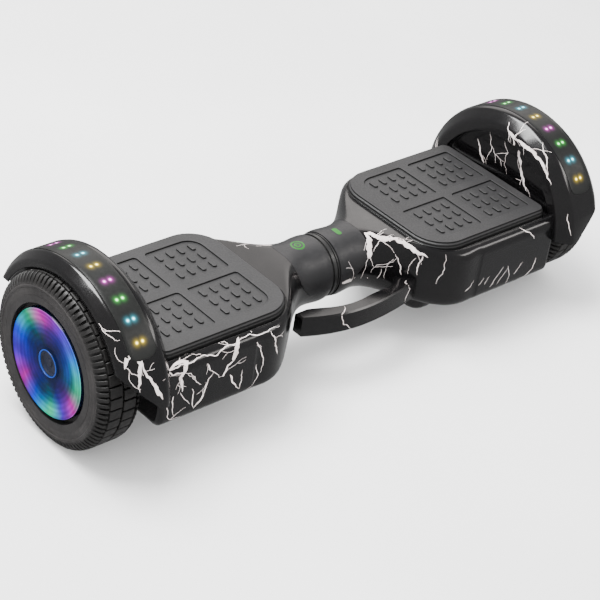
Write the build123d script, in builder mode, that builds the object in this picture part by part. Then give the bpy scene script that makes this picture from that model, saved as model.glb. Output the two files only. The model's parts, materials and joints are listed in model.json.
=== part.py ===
from build123d import *
import os
from math import asin, cos, degrees, radians, sin

# Self balancing hoverboard, in millimetres.
# Origin on the floor, midway between the wheels. X runs along the board from the left wheel (-X)
# to the right wheel (+X), -Y is the carry handle's side and Z is up.

os.makedirs("parts", exist_ok=True)

# ---- Wheels -------------------------------------------------------------------------------
tyre_radius = 82.5            # 6.5 inch solid tyre
tyre_width = 46.0
tyre_mid_x = 288.0            # the tyre's middle plane, from the board's centre
tyre_tread_width = 31.0
tyre_tread_depth = 2.2
tyre_groove_width = 3.0
rim_radius = 60.0             # the tyre's seat
rim_wall = 4.0
rim_flange = 3.0
rim_flange_width = 1.3
lens_proud = 1.0              # how far the light lens stands out past the tyre
lens_radius = 52.0
lens_wall = 3.0
hub_hole_radius = 13.0
axle_z = tyre_radius          # both wheels and the twist pivot turn on this line

# ---- Hub motor ----------------------------------------------------------------------------
air_gap = 0.6
magnet_thickness = 3.2
magnet_count = 20
stator_slots = 18
stator_stack = 16.0
stator_back_iron = 26.0
tooth_width = 5.0
shoe_thickness = 3.0
slot_opening = 3.5
coil_wall = 2.0
coil_fit = 0.1
axle_radius = 8.0
axle_nose_radius = 6.0
inner_bearing_radius = 17.5
outer_bearing_radius = 14.0
bearing_width = 8.0
running_fit = 0.05            # radial clearance of a shaft in its bearing or bush
motor_cover_thickness = 3.0
board_thickness = 1.6
led_height = 0.8

# ---- Body shell ---------------------------------------------------------------------------
body_half_width = 86.0
body_top = 106.0
body_bottom = 41.0
body_end_x = 250.0            # the bulkhead's outer face, beside the wheel
body_end_round = 5.0          # rounding of the body's outer end
body_start_x = 125.0          # the flare reaches its full width here
neck_end_x = 36.0             # the flare starts here
neck_radius = 32.0
shell_wall = 3.0
parting_z = 75.0
top_corner = 10.0
bottom_corner = 14.0
seam_half = 5.0               # half the centre ring's width
seam_gap = 0.6                # running gap between the centre ring and the right half
panel_gap = 0.3
left_panel_reach = 50.0       # how far the matt neck panel runs along the top
right_panel_reach = 44.0
bumper_start_x = 87.0         # the bumper under the body's inner end
bumper_end_x = 127.0
bumper_half_width = 60.0
bumper_bottom = 31.0

# ---- Fender -------------------------------------------------------------------------------
fender_z = 74.5               # height of the arch's centre
fender_radius = 105.5
fender_wall = 4.5
fender_inner_x = 245.0
fender_outer_x = 300.0
fender_lip_radius = 82.0      # where the arch's thick inner side ends
fender_skirt_radius = 92.5
fender_wall_x = 251.0         # the flat wall between body and wheel
fender_end_z = 82.5
band_start_x = 261.0
band_end_x = 289.0
film_thickness = 1.2
film_half_angle = 58.0
strip_half_width = 8.0
strip_thickness = 0.8
light_pairs = 10
light_pitch = 11.0            # degrees between two pairs of fender lights
light_spacing = 6.0           # between the two lights of a pair
light_size = 2.4

# ---- Foot mats ----------------------------------------------------------------------------
mat_start_x = 86.0
mat_end_x = 244.0
mat_half_width = 75.0
mat_inner_corner = 35.0
mat_outer_corner = 10.0
mat_top = 114.3
mat_skin = 5.0
mat_rim = 6.0
mat_travel = 1.5
mat_clearance = 0.5
pocket_floor_z = 101.0
field_depth = 1.2
field_side_margin = 14.0      # flat border in front of and behind the four tread fields
field_inner_margin = 19.0
field_outer_margin = 12.0
field_cross = 9.0             # flat cross between the fields
dash_length = 9.0
dash_width = 3.6
dash_pitch_x = 13.6
dash_pitch_y = 15.5
stalk_radius = 4.0
stalk_tip_z = 94.6
stalk_x = 45.0                # from the mat's middle
stalk_y = 28.0

# ---- Chassis ------------------------------------------------------------------------------
plate_bottom = 84.0
plate_thickness = 4.0
chassis_half_width = 62.0
rib_thickness = 7.0
rib_bottom = 52.0
chassis_start_x = 98.0
chassis_end_x = 244.0
spine_half_width = 20.0
socket_radius = 20.0
socket_start_x = 10.0
socket_end_x = 74.0
shaft_radius = 12.0
shaft_bore_radius = 7.0
bush_radius = 16.0
bush_length = 10.0
shaft_end_x = 68.0
clamp_length = 34.0
clamp_half_width = 20.0
clamp_height = 13.0
seat_half_width = 34.0        # the clamp seat's block, which hangs from the plate on both sides
twist_limit = 12.0            # degrees each way
stop_pin_radius = 2.5
stop_pin_x = 36.0
circlip_thickness = 1.2

# ---- Fasteners ----------------------------------------------------------------------------
screw_radius = 1.75
screw_head_radius = 3.5
screw_head_height = 2.5
screw_length = 14.0
screw_clearance = 0.35
boss_radius = 5.5
boss_x_positions = (112.0, 171.0, 230.0)

# ---- Carry handle, on the right half --------------------------------------------------------
handle_top = parting_z
handle_height = 23.0
handle_left_x = -61.0
handle_tip_x = 88.0
handle_screw_x = 74.0
handle_seat_y = 45.0

# ---- Electrics ----------------------------------------------------------------------------
battery_size = (96.0, 74.0, 36.0)
battery_mid_x = 160.0
strap_width = 16.0
strap_thickness = 1.5
mainboard_size = (104.0, 84.0)
mainboard_z = 70.0
mainboard_mid_x = 158.0
gyro_size = (112.0, 72.0)
gyro_z = 90.0
gyro_mid_x = 165.0
port_x = 150.0                # charge port and power button, from the centre
port_z = 62.5
socket_body_radius = 7.0
button_radius = 6.5
button_travel = 1.5
button_clearance = 0.3
button_seat = 1.0             # from the wall's inner face to the flange
cap_radius = 10.0
cap_thickness = 3.0
power_mark_x = 27.0
power_mark_radius = 8.0
battery_mark_x = 23.0
mark_depth = 3.5

half_length = tyre_mid_x + tyre_width / 2 + lens_proud
wheel_line = Axis((0, 0, axle_z), (1, 0, 0))
fender_line = Axis((0, 0, fender_z), (1, 0, 0))
magnet_radius = rim_radius - rim_wall
stator_radius = magnet_radius - magnet_thickness - air_gap
plate_top = plate_bottom + plate_thickness


def save(part, name):
    """Label a finished piece and write it as its own file."""
    part.label = name
    export_step(part, f"parts/{name}.step")


def save_pair(part, name):
    """Write a piece of the right half and its mirror image on the left half."""
    save(part, f"right_{name}")
    save(mirror(part, about=Plane.YZ), f"left_{name}")


def blend(t):
    """A smooth step from 0 to 1."""
    t = min(max(t, 0.0), 1.0)
    return t * t * (3 - 2 * t)


# ---- Body skin ----------------------------------------------------------------------------
def skin(inset):
    """The right half's outer form, pulled in by an inset: a round neck that flares to the body."""
    stations = [seam_half, neck_end_x * 0.6]
    flare = body_start_x - neck_end_x
    stations += [neck_end_x + flare * step / 5 for step in range(6)]
    stations += [body_start_x + 20]
    with BuildPart() as form:
        for x in stations:
            t = (x - neck_end_x) / flare
            wide = neck_radius + (body_half_width - neck_radius) * blend(t)
            top = axle_z + neck_radius + (body_top - axle_z - neck_radius) * blend(t)
            low = axle_z - neck_radius + (body_bottom - axle_z + neck_radius) * blend(t)
            round_top = neck_radius - 1 + (top_corner - neck_radius + 1) * blend(t * 1.5)
            round_low = neck_radius - 1 + (bottom_corner - neck_radius + 1) * blend(t)
            with BuildSketch(Plane.YZ.offset(x)):
                with Locations((0, (top + low) / 2)):
                    outline = Rectangle(2 * (wide - inset), top - low - 2 * inset)
                fillet(outline.vertices().group_by(Axis.Z)[-1], max(round_top - inset, 2))
                fillet(outline.vertices().group_by(Axis.Z)[0], max(round_low - inset, 2))
        loft()
        end = form.faces().sort_by(Axis.X)[-1]
        extrude(end, amount=body_end_x - inset - body_start_x - 20)
        fillet(form.faces().sort_by(Axis.X)[-1].edges(), body_end_round - inset)
    return form.part


def mat_outline(margin):
    """The foot mat's outline, grown by a margin."""
    with BuildSketch() as outline:
        low = mat_start_x - margin
        high = mat_end_x + margin
        with Locations(((low + high) / 2, 0)):
            Rectangle(high - low, 2 * (mat_half_width + margin))
        fillet(outline.vertices().group_by(Axis.X)[0], mat_inner_corner + margin)
        fillet(outline.vertices().group_by(Axis.X)[-1], mat_outer_corner + margin)
    return outline.sketch


outer_skin = skin(0)
inner_skin = skin(shell_wall)

# Bumper under the inner end of the body, moulded with the lower cover.
with BuildPart() as bumper:
    with BuildSketch(Plane.XY.offset(bumper_bottom)):
        with Locations(((bumper_start_x + bumper_end_x) / 2, 0)):
            RectangleRounded(bumper_end_x - bumper_start_x, 2 * bumper_half_width, 14)
    extrude(amount=body_bottom + 12 - bumper_bottom)
    fillet(bumper.faces().sort_by(Axis.Z)[0].edges(), 6)

# Both covers of one half, before they are parted.
with BuildPart() as casing:
    add(outer_skin)
    add(bumper.part)
    add(inner_skin, mode=Mode.SUBTRACT)
    with BuildSketch(Plane.XY.offset(bumper_bottom + shell_wall)):
        with Locations(((bumper_start_x + bumper_end_x) / 2, 0)):
            RectangleRounded(bumper_end_x - bumper_start_x - 2 * shell_wall,
                             2 * (bumper_half_width - shell_wall), 11)
    extrude(amount=body_bottom - bumper_bottom, mode=Mode.SUBTRACT)
    with BuildSketch(Plane.YZ.offset(body_end_x - 2 * shell_wall)):
        with Locations((0, axle_z)):
            Circle(axle_radius + mat_clearance)
    extrude(amount=3 * shell_wall, mode=Mode.SUBTRACT)

# The tub under the foot mat, trimmed to the skin, with holes for the mat's four stalks.
with BuildPart() as tub:
    with BuildSketch(Plane.XY.offset(pocket_floor_z - shell_wall)):
        add(mat_outline(mat_clearance + shell_wall))
    extrude(amount=neck_radius)
    add(outer_skin, mode=Mode.INTERSECT)

mat_mid_x = (mat_start_x + mat_end_x) / 2
stalk_places = [(mat_mid_x + x, y) for x in (-stalk_x, stalk_x) for y in (-stalk_y, stalk_y)]
boss_places = [(x, y * (chassis_half_width - rib_thickness / 2))
               for x in boss_x_positions for y in (-1, 1)]
upper_boss_places = [(x, y) for x in (boss_x_positions[0], boss_x_positions[-1]) for y in (-48, 48)]

with BuildPart() as shell:
    add(casing.part)
    add(tub.part)
    with BuildSketch(Plane.XY.offset(pocket_floor_z)):
        add(mat_outline(mat_clearance))
    extrude(amount=neck_radius, mode=Mode.SUBTRACT)
    with BuildSketch(Plane.XY.offset(plate_bottom)):
        with Locations(*stalk_places):
            Circle(stalk_radius + mat_clearance)
    extrude(amount=neck_radius, mode=Mode.SUBTRACT)


def panel_region(reach, gap):
    """The round-ended region of the neck that the matt panel covers, seen from the side."""
    with BuildPart() as region:
        with BuildSketch(Plane.XZ.offset(-2 * neck_radius)):
            with Locations((0, parting_z + neck_radius + 8)):
                Circle(reach + gap)
            with Locations((-reach, 0)):
                Rectangle(2 * (reach + seam_half), 800, mode=Mode.SUBTRACT)
            with Locations((0, parting_z - 400)):
                Rectangle(400, 800, mode=Mode.SUBTRACT)
        extrude(amount=4 * neck_radius)
    return region.part


def upper_cover(reach, seam_x):
    """The upper cover, with the neck panel's region left out and bosses down to the chassis."""
    with BuildPart() as cover:
        add(shell.part)
        split(bisect_by=Plane.XY.offset(parting_z), keep=Keep.TOP)
        add(panel_region(reach, panel_gap), mode=Mode.SUBTRACT)
        with BuildSketch(Plane.XY.offset(plate_top)):
            with Locations(*upper_boss_places):
                Circle(boss_radius)
        extrude(amount=pocket_floor_z - plate_top - 1)
        with BuildSketch(Plane.XY.offset(plate_top)):
            with Locations(*upper_boss_places):
                Circle(screw_radius)
        extrude(amount=screw_length - plate_thickness, mode=Mode.SUBTRACT)
        with BuildSketch(Plane.YZ):
            Rectangle(400, 600)
        extrude(amount=seam_x, mode=Mode.SUBTRACT)
    return cover.part


def neck_cover(reach, seam_x):
    """The matt panel over the top of the neck."""
    with BuildPart() as panel:
        add(shell.part)
        split(bisect_by=Plane.XY.offset(parting_z), keep=Keep.TOP)
        add(panel_region(reach, 0), mode=Mode.INTERSECT)
        with BuildSketch(Plane.YZ):
            Rectangle(400, 600)
        extrude(amount=seam_x, mode=Mode.SUBTRACT)
    return panel.part


def lower_cover(seam_x):
    """The lower cover, with screw bosses up to the chassis ribs and counterbored screw holes."""
    with BuildPart() as cover:
        add(shell.part)
        split(bisect_by=Plane.XY.offset(parting_z), keep=Keep.BOTTOM)
        with BuildSketch(Plane.XY.offset(body_bottom + shell_wall - 1)):
            with Locations(*boss_places):
                Circle(boss_radius)
        extrude(amount=rib_bottom - body_bottom - shell_wall + 1)
        with Locations(*[(x, y, 0) for x, y in boss_places]):
            Cylinder(screw_radius + screw_clearance, 2 * rib_bottom, mode=Mode.SUBTRACT)
        with BuildSketch():
            with Locations(*boss_places):
                Circle(screw_head_radius + screw_clearance)
        extrude(amount=rib_bottom - 4, mode=Mode.SUBTRACT)
        with BuildSketch(Plane.YZ):
            Rectangle(400, 600)
        extrude(amount=seam_x, mode=Mode.SUBTRACT)
    return cover.part


right_seam = seam_half + seam_gap
right_upper = upper_cover(right_panel_reach, right_seam)
left_upper = mirror(upper_cover(left_panel_reach, seam_half), about=Plane.YZ)
save(right_upper, "right_upper_cover")
save(left_upper, "left_upper_cover")

with BuildPart() as right_neck_cover:
    add(neck_cover(right_panel_reach, right_seam))
    with BuildSketch(Plane.XY.offset(axle_z + neck_radius - mark_depth - 1)):
        with Locations((battery_mark_x, 0)):
            SlotOverall(13, 7, rotation=90)
    extrude(amount=neck_radius, mode=Mode.SUBTRACT)
save(right_neck_cover.part, "right_neck_cover")

with BuildPart() as left_neck_cover:
    add(mirror(neck_cover(left_panel_reach, seam_half), about=Plane.YZ))
    with BuildSketch(Plane.XY.offset(axle_z + neck_radius - mark_depth - 1)):
        with Locations((-power_mark_x, 0)):
            Circle(power_mark_radius)
    extrude(amount=neck_radius, mode=Mode.SUBTRACT)
save(left_neck_cover.part, "left_neck_cover")

with BuildPart() as battery_indicator:
    with BuildSketch(Plane.XY.offset(axle_z + neck_radius - mark_depth)):
        with Locations((battery_mark_x, 0)):
            SlotOverall(13, 7, rotation=90)
    extrude(amount=neck_radius)
    add(outer_skin, mode=Mode.INTERSECT)
save(battery_indicator.part, "battery_indicator")

with BuildPart() as power_indicator:
    with BuildSketch(Plane.XY.offset(axle_z + neck_radius - mark_depth)):
        with Locations((power_mark_x, 0)):
            Circle(power_mark_radius)
    extrude(amount=neck_radius)
    add(outer_skin, mode=Mode.INTERSECT)
save(mirror(power_indicator.part, about=Plane.YZ), "power_indicator")

# ---- Carry handle -------------------------------------------------------------------------
with BuildPart() as handle:
    with BuildSketch(Plane.XY.offset(handle_top - handle_height)):
        with BuildLine():
            Polyline((handle_left_x, -44), (handle_left_x, -55))
            Spline((handle_left_x, -55), (-42, -63), (-7, -71), (38, -70), (70, -64.5),
                   (handle_tip_x, -59))
            Line((handle_tip_x, -59), (handle_tip_x, -40))
            Line((handle_tip_x, -40), (66, -40))
            Spline((66, -40), (61, -51), (31, -56), (9, -58), (-20, -54.5), (-40, -46.5),
                   (-47, -44))
            Line((-47, -44), (handle_left_x, -44))
        make_face()
    extrude(amount=handle_height)
    chamfer(handle.faces().sort_by(Axis.Z)[0].edges(), 2.5)
    chamfer(handle.faces().sort_by(Axis.Z)[-1].edges(), 1.5)
    add(outer_skin, mode=Mode.SUBTRACT)
    with Locations(*[Plane((handle_screw_x, -handle_seat_y, z), z_dir=(0, -1, 0))
                     for z in (handle_top - 7, handle_top - handle_height + 7)]):
        Cylinder(screw_radius, 16, align=(Align.CENTER, Align.CENTER, Align.MIN),
                 mode=Mode.SUBTRACT)
save(handle.part, "carry_handle")

handle_screw_places = [Plane((handle_screw_x, -handle_seat_y, z), z_dir=(0, -1, 0))
                       for z in (handle_top - 7, handle_top - handle_height + 7)]
# ---- Lower covers, with the rear charge port (left) and power button (right) ----------------
with BuildPart() as right_lower_cover:
    add(lower_cover(right_seam))
    with BuildPart(mode=Mode.PRIVATE) as handle_boss:
        with Locations(*handle_screw_places):
            Cylinder(boss_radius, 16, align=(Align.CENTER, Align.CENTER, Align.MIN))
        add(outer_skin, mode=Mode.INTERSECT)
    add(handle_boss.part)
    with Locations(*handle_screw_places):
        Cylinder(screw_radius + screw_clearance, 16,
                 align=(Align.CENTER, Align.CENTER, Align.MIN), mode=Mode.SUBTRACT)
    with Locations(Plane((port_x, body_half_width, port_z), z_dir=(0, 1, 0))):
        Cylinder(button_radius + button_clearance, 4 * shell_wall, mode=Mode.SUBTRACT)
save(right_lower_cover.part, "right_lower_cover")

with BuildPart() as left_lower_cover:
    add(mirror(lower_cover(seam_half), about=Plane.YZ))
    with Locations(Plane((-port_x, body_half_width, port_z), z_dir=(0, 1, 0))):
        Cylinder(socket_body_radius, 4 * shell_wall, mode=Mode.SUBTRACT)
save(left_lower_cover.part, "left_lower_cover")

with BuildPart() as power_button:
    with Locations(Plane((port_x, body_half_width + 1.8, port_z), z_dir=(0, 1, 0))):
        Cylinder(button_radius, 9, align=(Align.CENTER, Align.CENTER, Align.MAX))
    fillet(power_button.faces().sort_by(Axis.Y)[-1].edges(), 0.8)
    flange_y = body_half_width - shell_wall - button_seat
    with Locations(Plane((port_x, flange_y, port_z), z_dir=(0, 1, 0))):
        Cylinder(button_radius + 1.5, 1.5, align=(Align.CENTER, Align.CENTER, Align.MAX))
save(power_button.part, "power_button")

with BuildPart() as charge_socket:
    with Locations(Plane((-port_x, body_half_width, port_z), z_dir=(0, 1, 0))):
        Cylinder(socket_body_radius, 16, align=(Align.CENTER, Align.CENTER, Align.MAX))
        Cylinder(socket_body_radius + 2, 1.2, align=(Align.CENTER, Align.CENTER, Align.MIN))
    with Locations(Plane((-port_x, body_half_width - 8, port_z), z_dir=(0, 1, 0))):
        Cylinder(socket_body_radius - 1.5, 20, align=(Align.CENTER, Align.CENTER, Align.MIN),
                 mode=Mode.SUBTRACT)
    with Locations(*[(-port_x + 3 * cos(radians(a)), body_half_width - 5,
                      port_z + 3 * sin(radians(a))) for a in (90, 210, 330)]):
        Cylinder(0.8, 8, rotation=(90, 0, 0))
save(charge_socket.part, "charge_socket")

cap_hinge_z = port_z + cap_radius + 1.5
cap_hinge_y = body_half_width + 1.2 + 0.4 + cap_thickness / 2
with BuildPart() as charge_cap:
    with Locations(Plane((-port_x, body_half_width + 1.6, port_z), z_dir=(0, 1, 0))):
        Cylinder(cap_radius, cap_thickness, align=(Align.CENTER, Align.CENTER, Align.MIN))
    fillet(charge_cap.faces().sort_by(Axis.Y)[-1].edges(), 1)
    with Locations((-port_x, cap_hinge_y, cap_hinge_z - 1.5)):
        Box(8, cap_thickness, 3)
    with Locations((-port_x, cap_hinge_y, cap_hinge_z)):
        Cylinder(cap_thickness / 2, 8, rotation=(0, 90, 0))
save(charge_cap.part, "charge_cap")

# ---- Centre ring ----------------------------------------------------------------------------
with BuildPart() as centre_ring:
    with BuildSketch(Plane.XZ):
        with BuildLine():
            r = axle_z + neck_radius
            Polyline((-seam_half, r - 4), (-seam_half, r - 0.5), (-3.6, r - 0.5),
                     (-3.6, r - 1.8), (-1.8, r - 1.8), (-1.8, r), (1.8, r), (1.8, r - 1.8),
                     (3.6, r - 1.8), (3.6, r - 0.5), (seam_half, r - 0.5), (seam_half, r - 4),
                     close=True)
        make_face()
    revolve(axis=wheel_line)
save(centre_ring.part, "centre_ring")

# ---- Fender arch, one half ------------------------------------------------------------------
film_radius = fender_radius - film_thickness
with BuildPart() as fender_ring:
    with BuildSketch(Plane.XZ):
        with BuildLine():
            z = fender_z
            Polyline((fender_inner_x, z + fender_lip_radius),
                     (fender_inner_x, z + fender_radius - 12),
                     (band_start_x - 5, z + fender_radius),
                     (band_end_x + 2, z + fender_radius),
                     (fender_outer_x, z + fender_radius - 7),
                     (fender_outer_x, z + fender_skirt_radius),
                     (fender_outer_x - 3, z + fender_skirt_radius),
                     (fender_outer_x - 3, z + fender_radius - 9),
                     (band_end_x + 1, z + fender_radius - fender_wall),
                     (band_start_x - 3, z + fender_radius - fender_wall),
                     (fender_wall_x + 3, z + fender_radius - 11),
                     (fender_wall_x + 3, z + 30),
                     (fender_wall_x, z + 30),
                     (fender_wall_x, z + fender_lip_radius),
                     close=True)
        make_face()
    revolve(axis=fender_line)

# The lower ends: level beside the body, rising towards the skirt, alike front and rear.
with BuildPart() as fender_trim:
    with BuildSketch(Plane.XZ.offset(-2 * fender_radius)):
        with BuildLine():
            low_z = fender_z - 2 * fender_radius
            Polyline((fender_inner_x - 20, low_z), (fender_inner_x - 20, fender_end_z),
                     (263, fender_end_z), (fender_outer_x + 4, fender_end_z + 38),
                     (fender_outer_x + 4, low_z), close=True)
        make_face()
    extrude(amount=4 * fender_radius)


def ring_sector(low_x, high_x, low_r, high_r, half_angle):
    """A stretch of a ring around the fender's centre line, centred on its top."""
    with BuildPart() as sector:
        with BuildSketch(Plane.XZ):
            with BuildLine():
                Polyline((low_x, fender_z + low_r), (high_x, fender_z + low_r),
                         (high_x, fender_z + high_r), (low_x, fender_z + high_r), close=True)
            make_face()
        revolve(axis=fender_line, revolution_arc=half_angle)
        mirror(about=Plane.XZ)
    return sector.part


with BuildPart() as fender:
    add(fender_ring.part)
    add(fender_trim.part, mode=Mode.SUBTRACT)
    add(outer_skin, mode=Mode.SUBTRACT)
    with BuildSketch(Plane.YZ.offset(fender_wall_x - 1)):
        with Locations((0, axle_z)):
            Circle(34)
    extrude(amount=6, mode=Mode.SUBTRACT)
    add(ring_sector(band_start_x, band_end_x, film_radius, fender_radius + 1, film_half_angle),
        mode=Mode.SUBTRACT)
    mid_band = (band_start_x + band_end_x) / 2
    add(ring_sector(mid_band - strip_half_width, mid_band + strip_half_width,
                    film_radius - led_height - strip_thickness, film_radius + 1,
                    film_half_angle - 4), mode=Mode.SUBTRACT)
save_pair(fender.part, "fender")

with BuildPart() as fender_lens:
    add(ring_sector(band_start_x, band_end_x, film_radius, fender_radius, film_half_angle))
save_pair(fender_lens.part, "fender_lens")

light_angles = [(step - (light_pairs - 1) / 2) * light_pitch for step in range(light_pairs)]
with BuildPart() as light_strip:
    add(ring_sector(mid_band - strip_half_width, mid_band + strip_half_width,
                    film_radius - led_height - strip_thickness, film_radius - led_height,
                    film_half_angle - 4))
    for angle in light_angles:
        spot = film_radius - led_height / 2 - 0.1
        for side in (-1, 1):
            with Locations(Location((mid_band + side * light_spacing / 2,
                                     spot * sin(radians(angle)),
                                     fender_z + spot * cos(radians(angle))), (-angle, 0, 0))):
                Box(light_size, light_size, led_height)
save_pair(light_strip.part, "fender_light_strip")

# ---- Foot mat -------------------------------------------------------------------------------
field_low_x = mat_start_x + field_inner_margin
field_high_x = mat_end_x - field_outer_margin
field_mid_x = (field_low_x + field_high_x) / 2
field_half_width = mat_half_width - field_side_margin
field_size = ((field_high_x - field_low_x - field_cross) / 2, field_half_width - field_cross / 2)
field_mid = (field_cross / 2 + field_size[0] / 2, field_cross / 2 + field_size[1] / 2)
with BuildPart() as mat:
    with BuildSketch(Plane.XY.offset(pocket_floor_z + mat_travel + mat_clearance)):
        add(mat_outline(0))
    extrude(amount=mat_top - pocket_floor_z - mat_travel - mat_clearance)
    chamfer(mat.faces().sort_by(Axis.Z)[-1].edges(), 1.5)
    with BuildSketch(Plane.XY.offset(pocket_floor_z)):
        add(mat_outline(-mat_rim))
    extrude(amount=mat_top - mat_skin - pocket_floor_z, mode=Mode.SUBTRACT)
    with BuildSketch(Plane.XY.offset(mat_top - field_depth)):
        with Locations(*[(field_mid_x + i * field_mid[0], j * field_mid[1])
                         for i in (-1, 1) for j in (-1, 1)]):
            RectangleRounded(field_size[0], field_size[1], 5)
            for row in range(3):
                shift = (row - 1) * dash_pitch_y
                for column in range(4):
                    with Locations(((column - 1.5) * dash_pitch_x, shift)):
                        SlotOverall(dash_length, dash_width, rotation=90, mode=Mode.SUBTRACT)
    extrude(amount=2 * field_depth, mode=Mode.SUBTRACT)
    with BuildSketch(Plane.XY.offset(stalk_tip_z)):
        with Locations(*stalk_places):
            Circle(stalk_radius)
    extrude(amount=mat_top - 2 - stalk_tip_z)
save_pair(mat.part, "foot_mat")

# ---- Chassis --------------------------------------------------------------------------------
def chassis(bore):
    """The cast frame of one half: a ribbed plate, a clamp seat and the twist pivot's socket."""
    with BuildPart() as frame:
        mid_x = (chassis_start_x + chassis_end_x) / 2
        length = chassis_end_x - chassis_start_x
        with BuildSketch(Plane.XY.offset(plate_bottom)):
            with Locations((mid_x, 0)):
                Rectangle(length, 2 * chassis_half_width)
            with Locations(((socket_end_x + chassis_start_x) / 2, 0)):
                Rectangle(chassis_start_x - socket_end_x + 20, 2 * spine_half_width)
        extrude(amount=plate_thickness)
        with BuildSketch(Plane.XY.offset(rib_bottom)):
            with Locations(*[(mid_x, side * (chassis_half_width - rib_thickness / 2))
                             for side in (-1, 1)]):
                Rectangle(length, rib_thickness)
        extrude(amount=plate_bottom - rib_bottom)
        with BuildSketch(Plane.XY.offset(rib_bottom)):
            with Locations((chassis_start_x + 2, 0)):
                Rectangle(4, 2 * chassis_half_width)
        extrude(amount=plate_bottom - rib_bottom)
        with BuildSketch(Plane.XY.offset(axle_z - socket_radius)):
            with Locations(((socket_end_x - 12 + chassis_start_x) / 2, 0)):
                Rectangle(chassis_start_x - socket_end_x + 12, 8)
        extrude(amount=socket_radius)
        with BuildSketch(Plane.XY.offset(axle_z - axle_radius - 8)):
            with Locations((chassis_end_x - clamp_length / 2, 0)):
                Rectangle(clamp_length, 2 * seat_half_width)
        extrude(amount=plate_top - axle_z + axle_radius + 8)
        with BuildSketch(Plane.XY.offset(axle_z)):
            with Locations((chassis_end_x - clamp_length / 2, 0)):
                Rectangle(clamp_length + 1, 2 * (clamp_half_width + panel_gap))
        extrude(amount=20, mode=Mode.SUBTRACT)
        with BuildSketch(Plane.YZ.offset(chassis_end_x - clamp_length - 10)):
            with Locations((0, axle_z)):
                Circle(axle_radius)
        extrude(amount=clamp_length + 20, mode=Mode.SUBTRACT)
        with BuildSketch(Plane.YZ.offset(socket_start_x)):
            with Locations((0, axle_z)):
                Circle(socket_radius)
        extrude(amount=socket_end_x - socket_start_x)
        with BuildSketch(Plane.YZ.offset(0)):
            with Locations((0, axle_z)):
                Circle(bore)
        extrude(amount=socket_end_x, mode=Mode.SUBTRACT)
        with BuildSketch(Plane.XY.offset(rib_bottom)):
            with Locations(*boss_places):
                Circle(screw_radius)
        extrude(amount=screw_length, mode=Mode.SUBTRACT)
        with BuildSketch(Plane.XY.offset(plate_bottom)):
            with Locations(*upper_boss_places):
                Circle(screw_radius)
        extrude(amount=plate_thickness, mode=Mode.SUBTRACT)
    return frame.part


pin_half_angle = degrees(asin((stop_pin_radius + 0.4) / bush_radius))
with BuildPart() as right_chassis:
    add(chassis(bush_radius))
    with BuildSketch(Plane.YZ.offset(stop_pin_x)):
        with BuildLine():
            reach = radians(twist_limit + pin_half_angle + 1)
            far = socket_radius + 2
            Polyline((0, axle_z), (far * sin(reach), axle_z + far * cos(reach)),
                     (-far * sin(reach), axle_z + far * cos(reach)), close=True)
        make_face()
    extrude(amount=stop_pin_radius + 0.4, both=True, mode=Mode.SUBTRACT)
save(right_chassis.part, "right_chassis")

save(mirror(chassis(shaft_radius), about=Plane.YZ), "left_chassis")

# ---- Twist pivot ----------------------------------------------------------------------------
with BuildPart() as pivot_shaft:
    with BuildSketch(Plane.YZ.offset(-socket_end_x + 2)):
        with Locations((0, axle_z)):
            Circle(shaft_radius)
            Circle(shaft_bore_radius, mode=Mode.SUBTRACT)
    extrude(amount=socket_end_x - 2 + shaft_end_x)
    with BuildSketch(Plane.YZ.offset(shaft_end_x - 4)):
        with Locations((0, axle_z)):
            Circle(shaft_radius + 1)
            Circle(shaft_radius - 1.2, mode=Mode.SUBTRACT)
    extrude(amount=circlip_thickness, mode=Mode.SUBTRACT)
    with Locations((stop_pin_x, 0, axle_z + shaft_radius)):
        Cylinder(stop_pin_radius, 2 * shaft_radius - 2, mode=Mode.SUBTRACT)
save(pivot_shaft.part, "pivot_shaft")

with BuildPart() as pivot_circlip:
    with BuildSketch(Plane.YZ.offset(shaft_end_x - 4)):
        with Locations((0, axle_z)):
            Circle(shaft_radius + 2)
            Circle(shaft_radius - 1.2, mode=Mode.SUBTRACT)
    extrude(amount=circlip_thickness)
save(pivot_circlip.part, "pivot_circlip")

with BuildPart() as stop_pin:
    with Locations((stop_pin_x, 0, axle_z + shaft_bore_radius)):
        Cylinder(stop_pin_radius, socket_radius - shaft_bore_radius,
                 align=(Align.CENTER, Align.CENTER, Align.MIN))
save(stop_pin.part, "twist_stop_pin")

with BuildPart() as bushes:
    for start in (socket_start_x + 2, shaft_end_x - 4.3 - bush_length):
        with BuildSketch(Plane.YZ.offset(start)):
            with Locations((0, axle_z)):
                Circle(bush_radius)
                Circle(shaft_radius + running_fit, mode=Mode.SUBTRACT)
        extrude(amount=bush_length)
save(bushes.part, "pivot_bushes")

# ---- Axle clamp, screws ---------------------------------------------------------------------
clamp_mid_x = chassis_end_x - clamp_length / 2
clamp_screw_places = [(clamp_mid_x + x, y) for x in (-10, 10) for y in (-14, 14)]
with BuildPart() as axle_clamp:
    with BuildSketch(Plane.XY.offset(axle_z)):
        with Locations((clamp_mid_x, 0)):
            Rectangle(clamp_length, 2 * clamp_half_width)
    extrude(amount=clamp_height)
    with BuildSketch(Plane.YZ.offset(clamp_mid_x - clamp_length)):
        with Locations((0, axle_z)):
            Circle(axle_radius)
    extrude(amount=2 * clamp_length, mode=Mode.SUBTRACT)
    with Locations(*[(x, y, axle_z + clamp_height) for x, y in clamp_screw_places]):
        CounterBoreHole(screw_radius, screw_head_radius, screw_head_height, 2 * clamp_height)
save_pair(axle_clamp.part, "axle_clamp")

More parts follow.
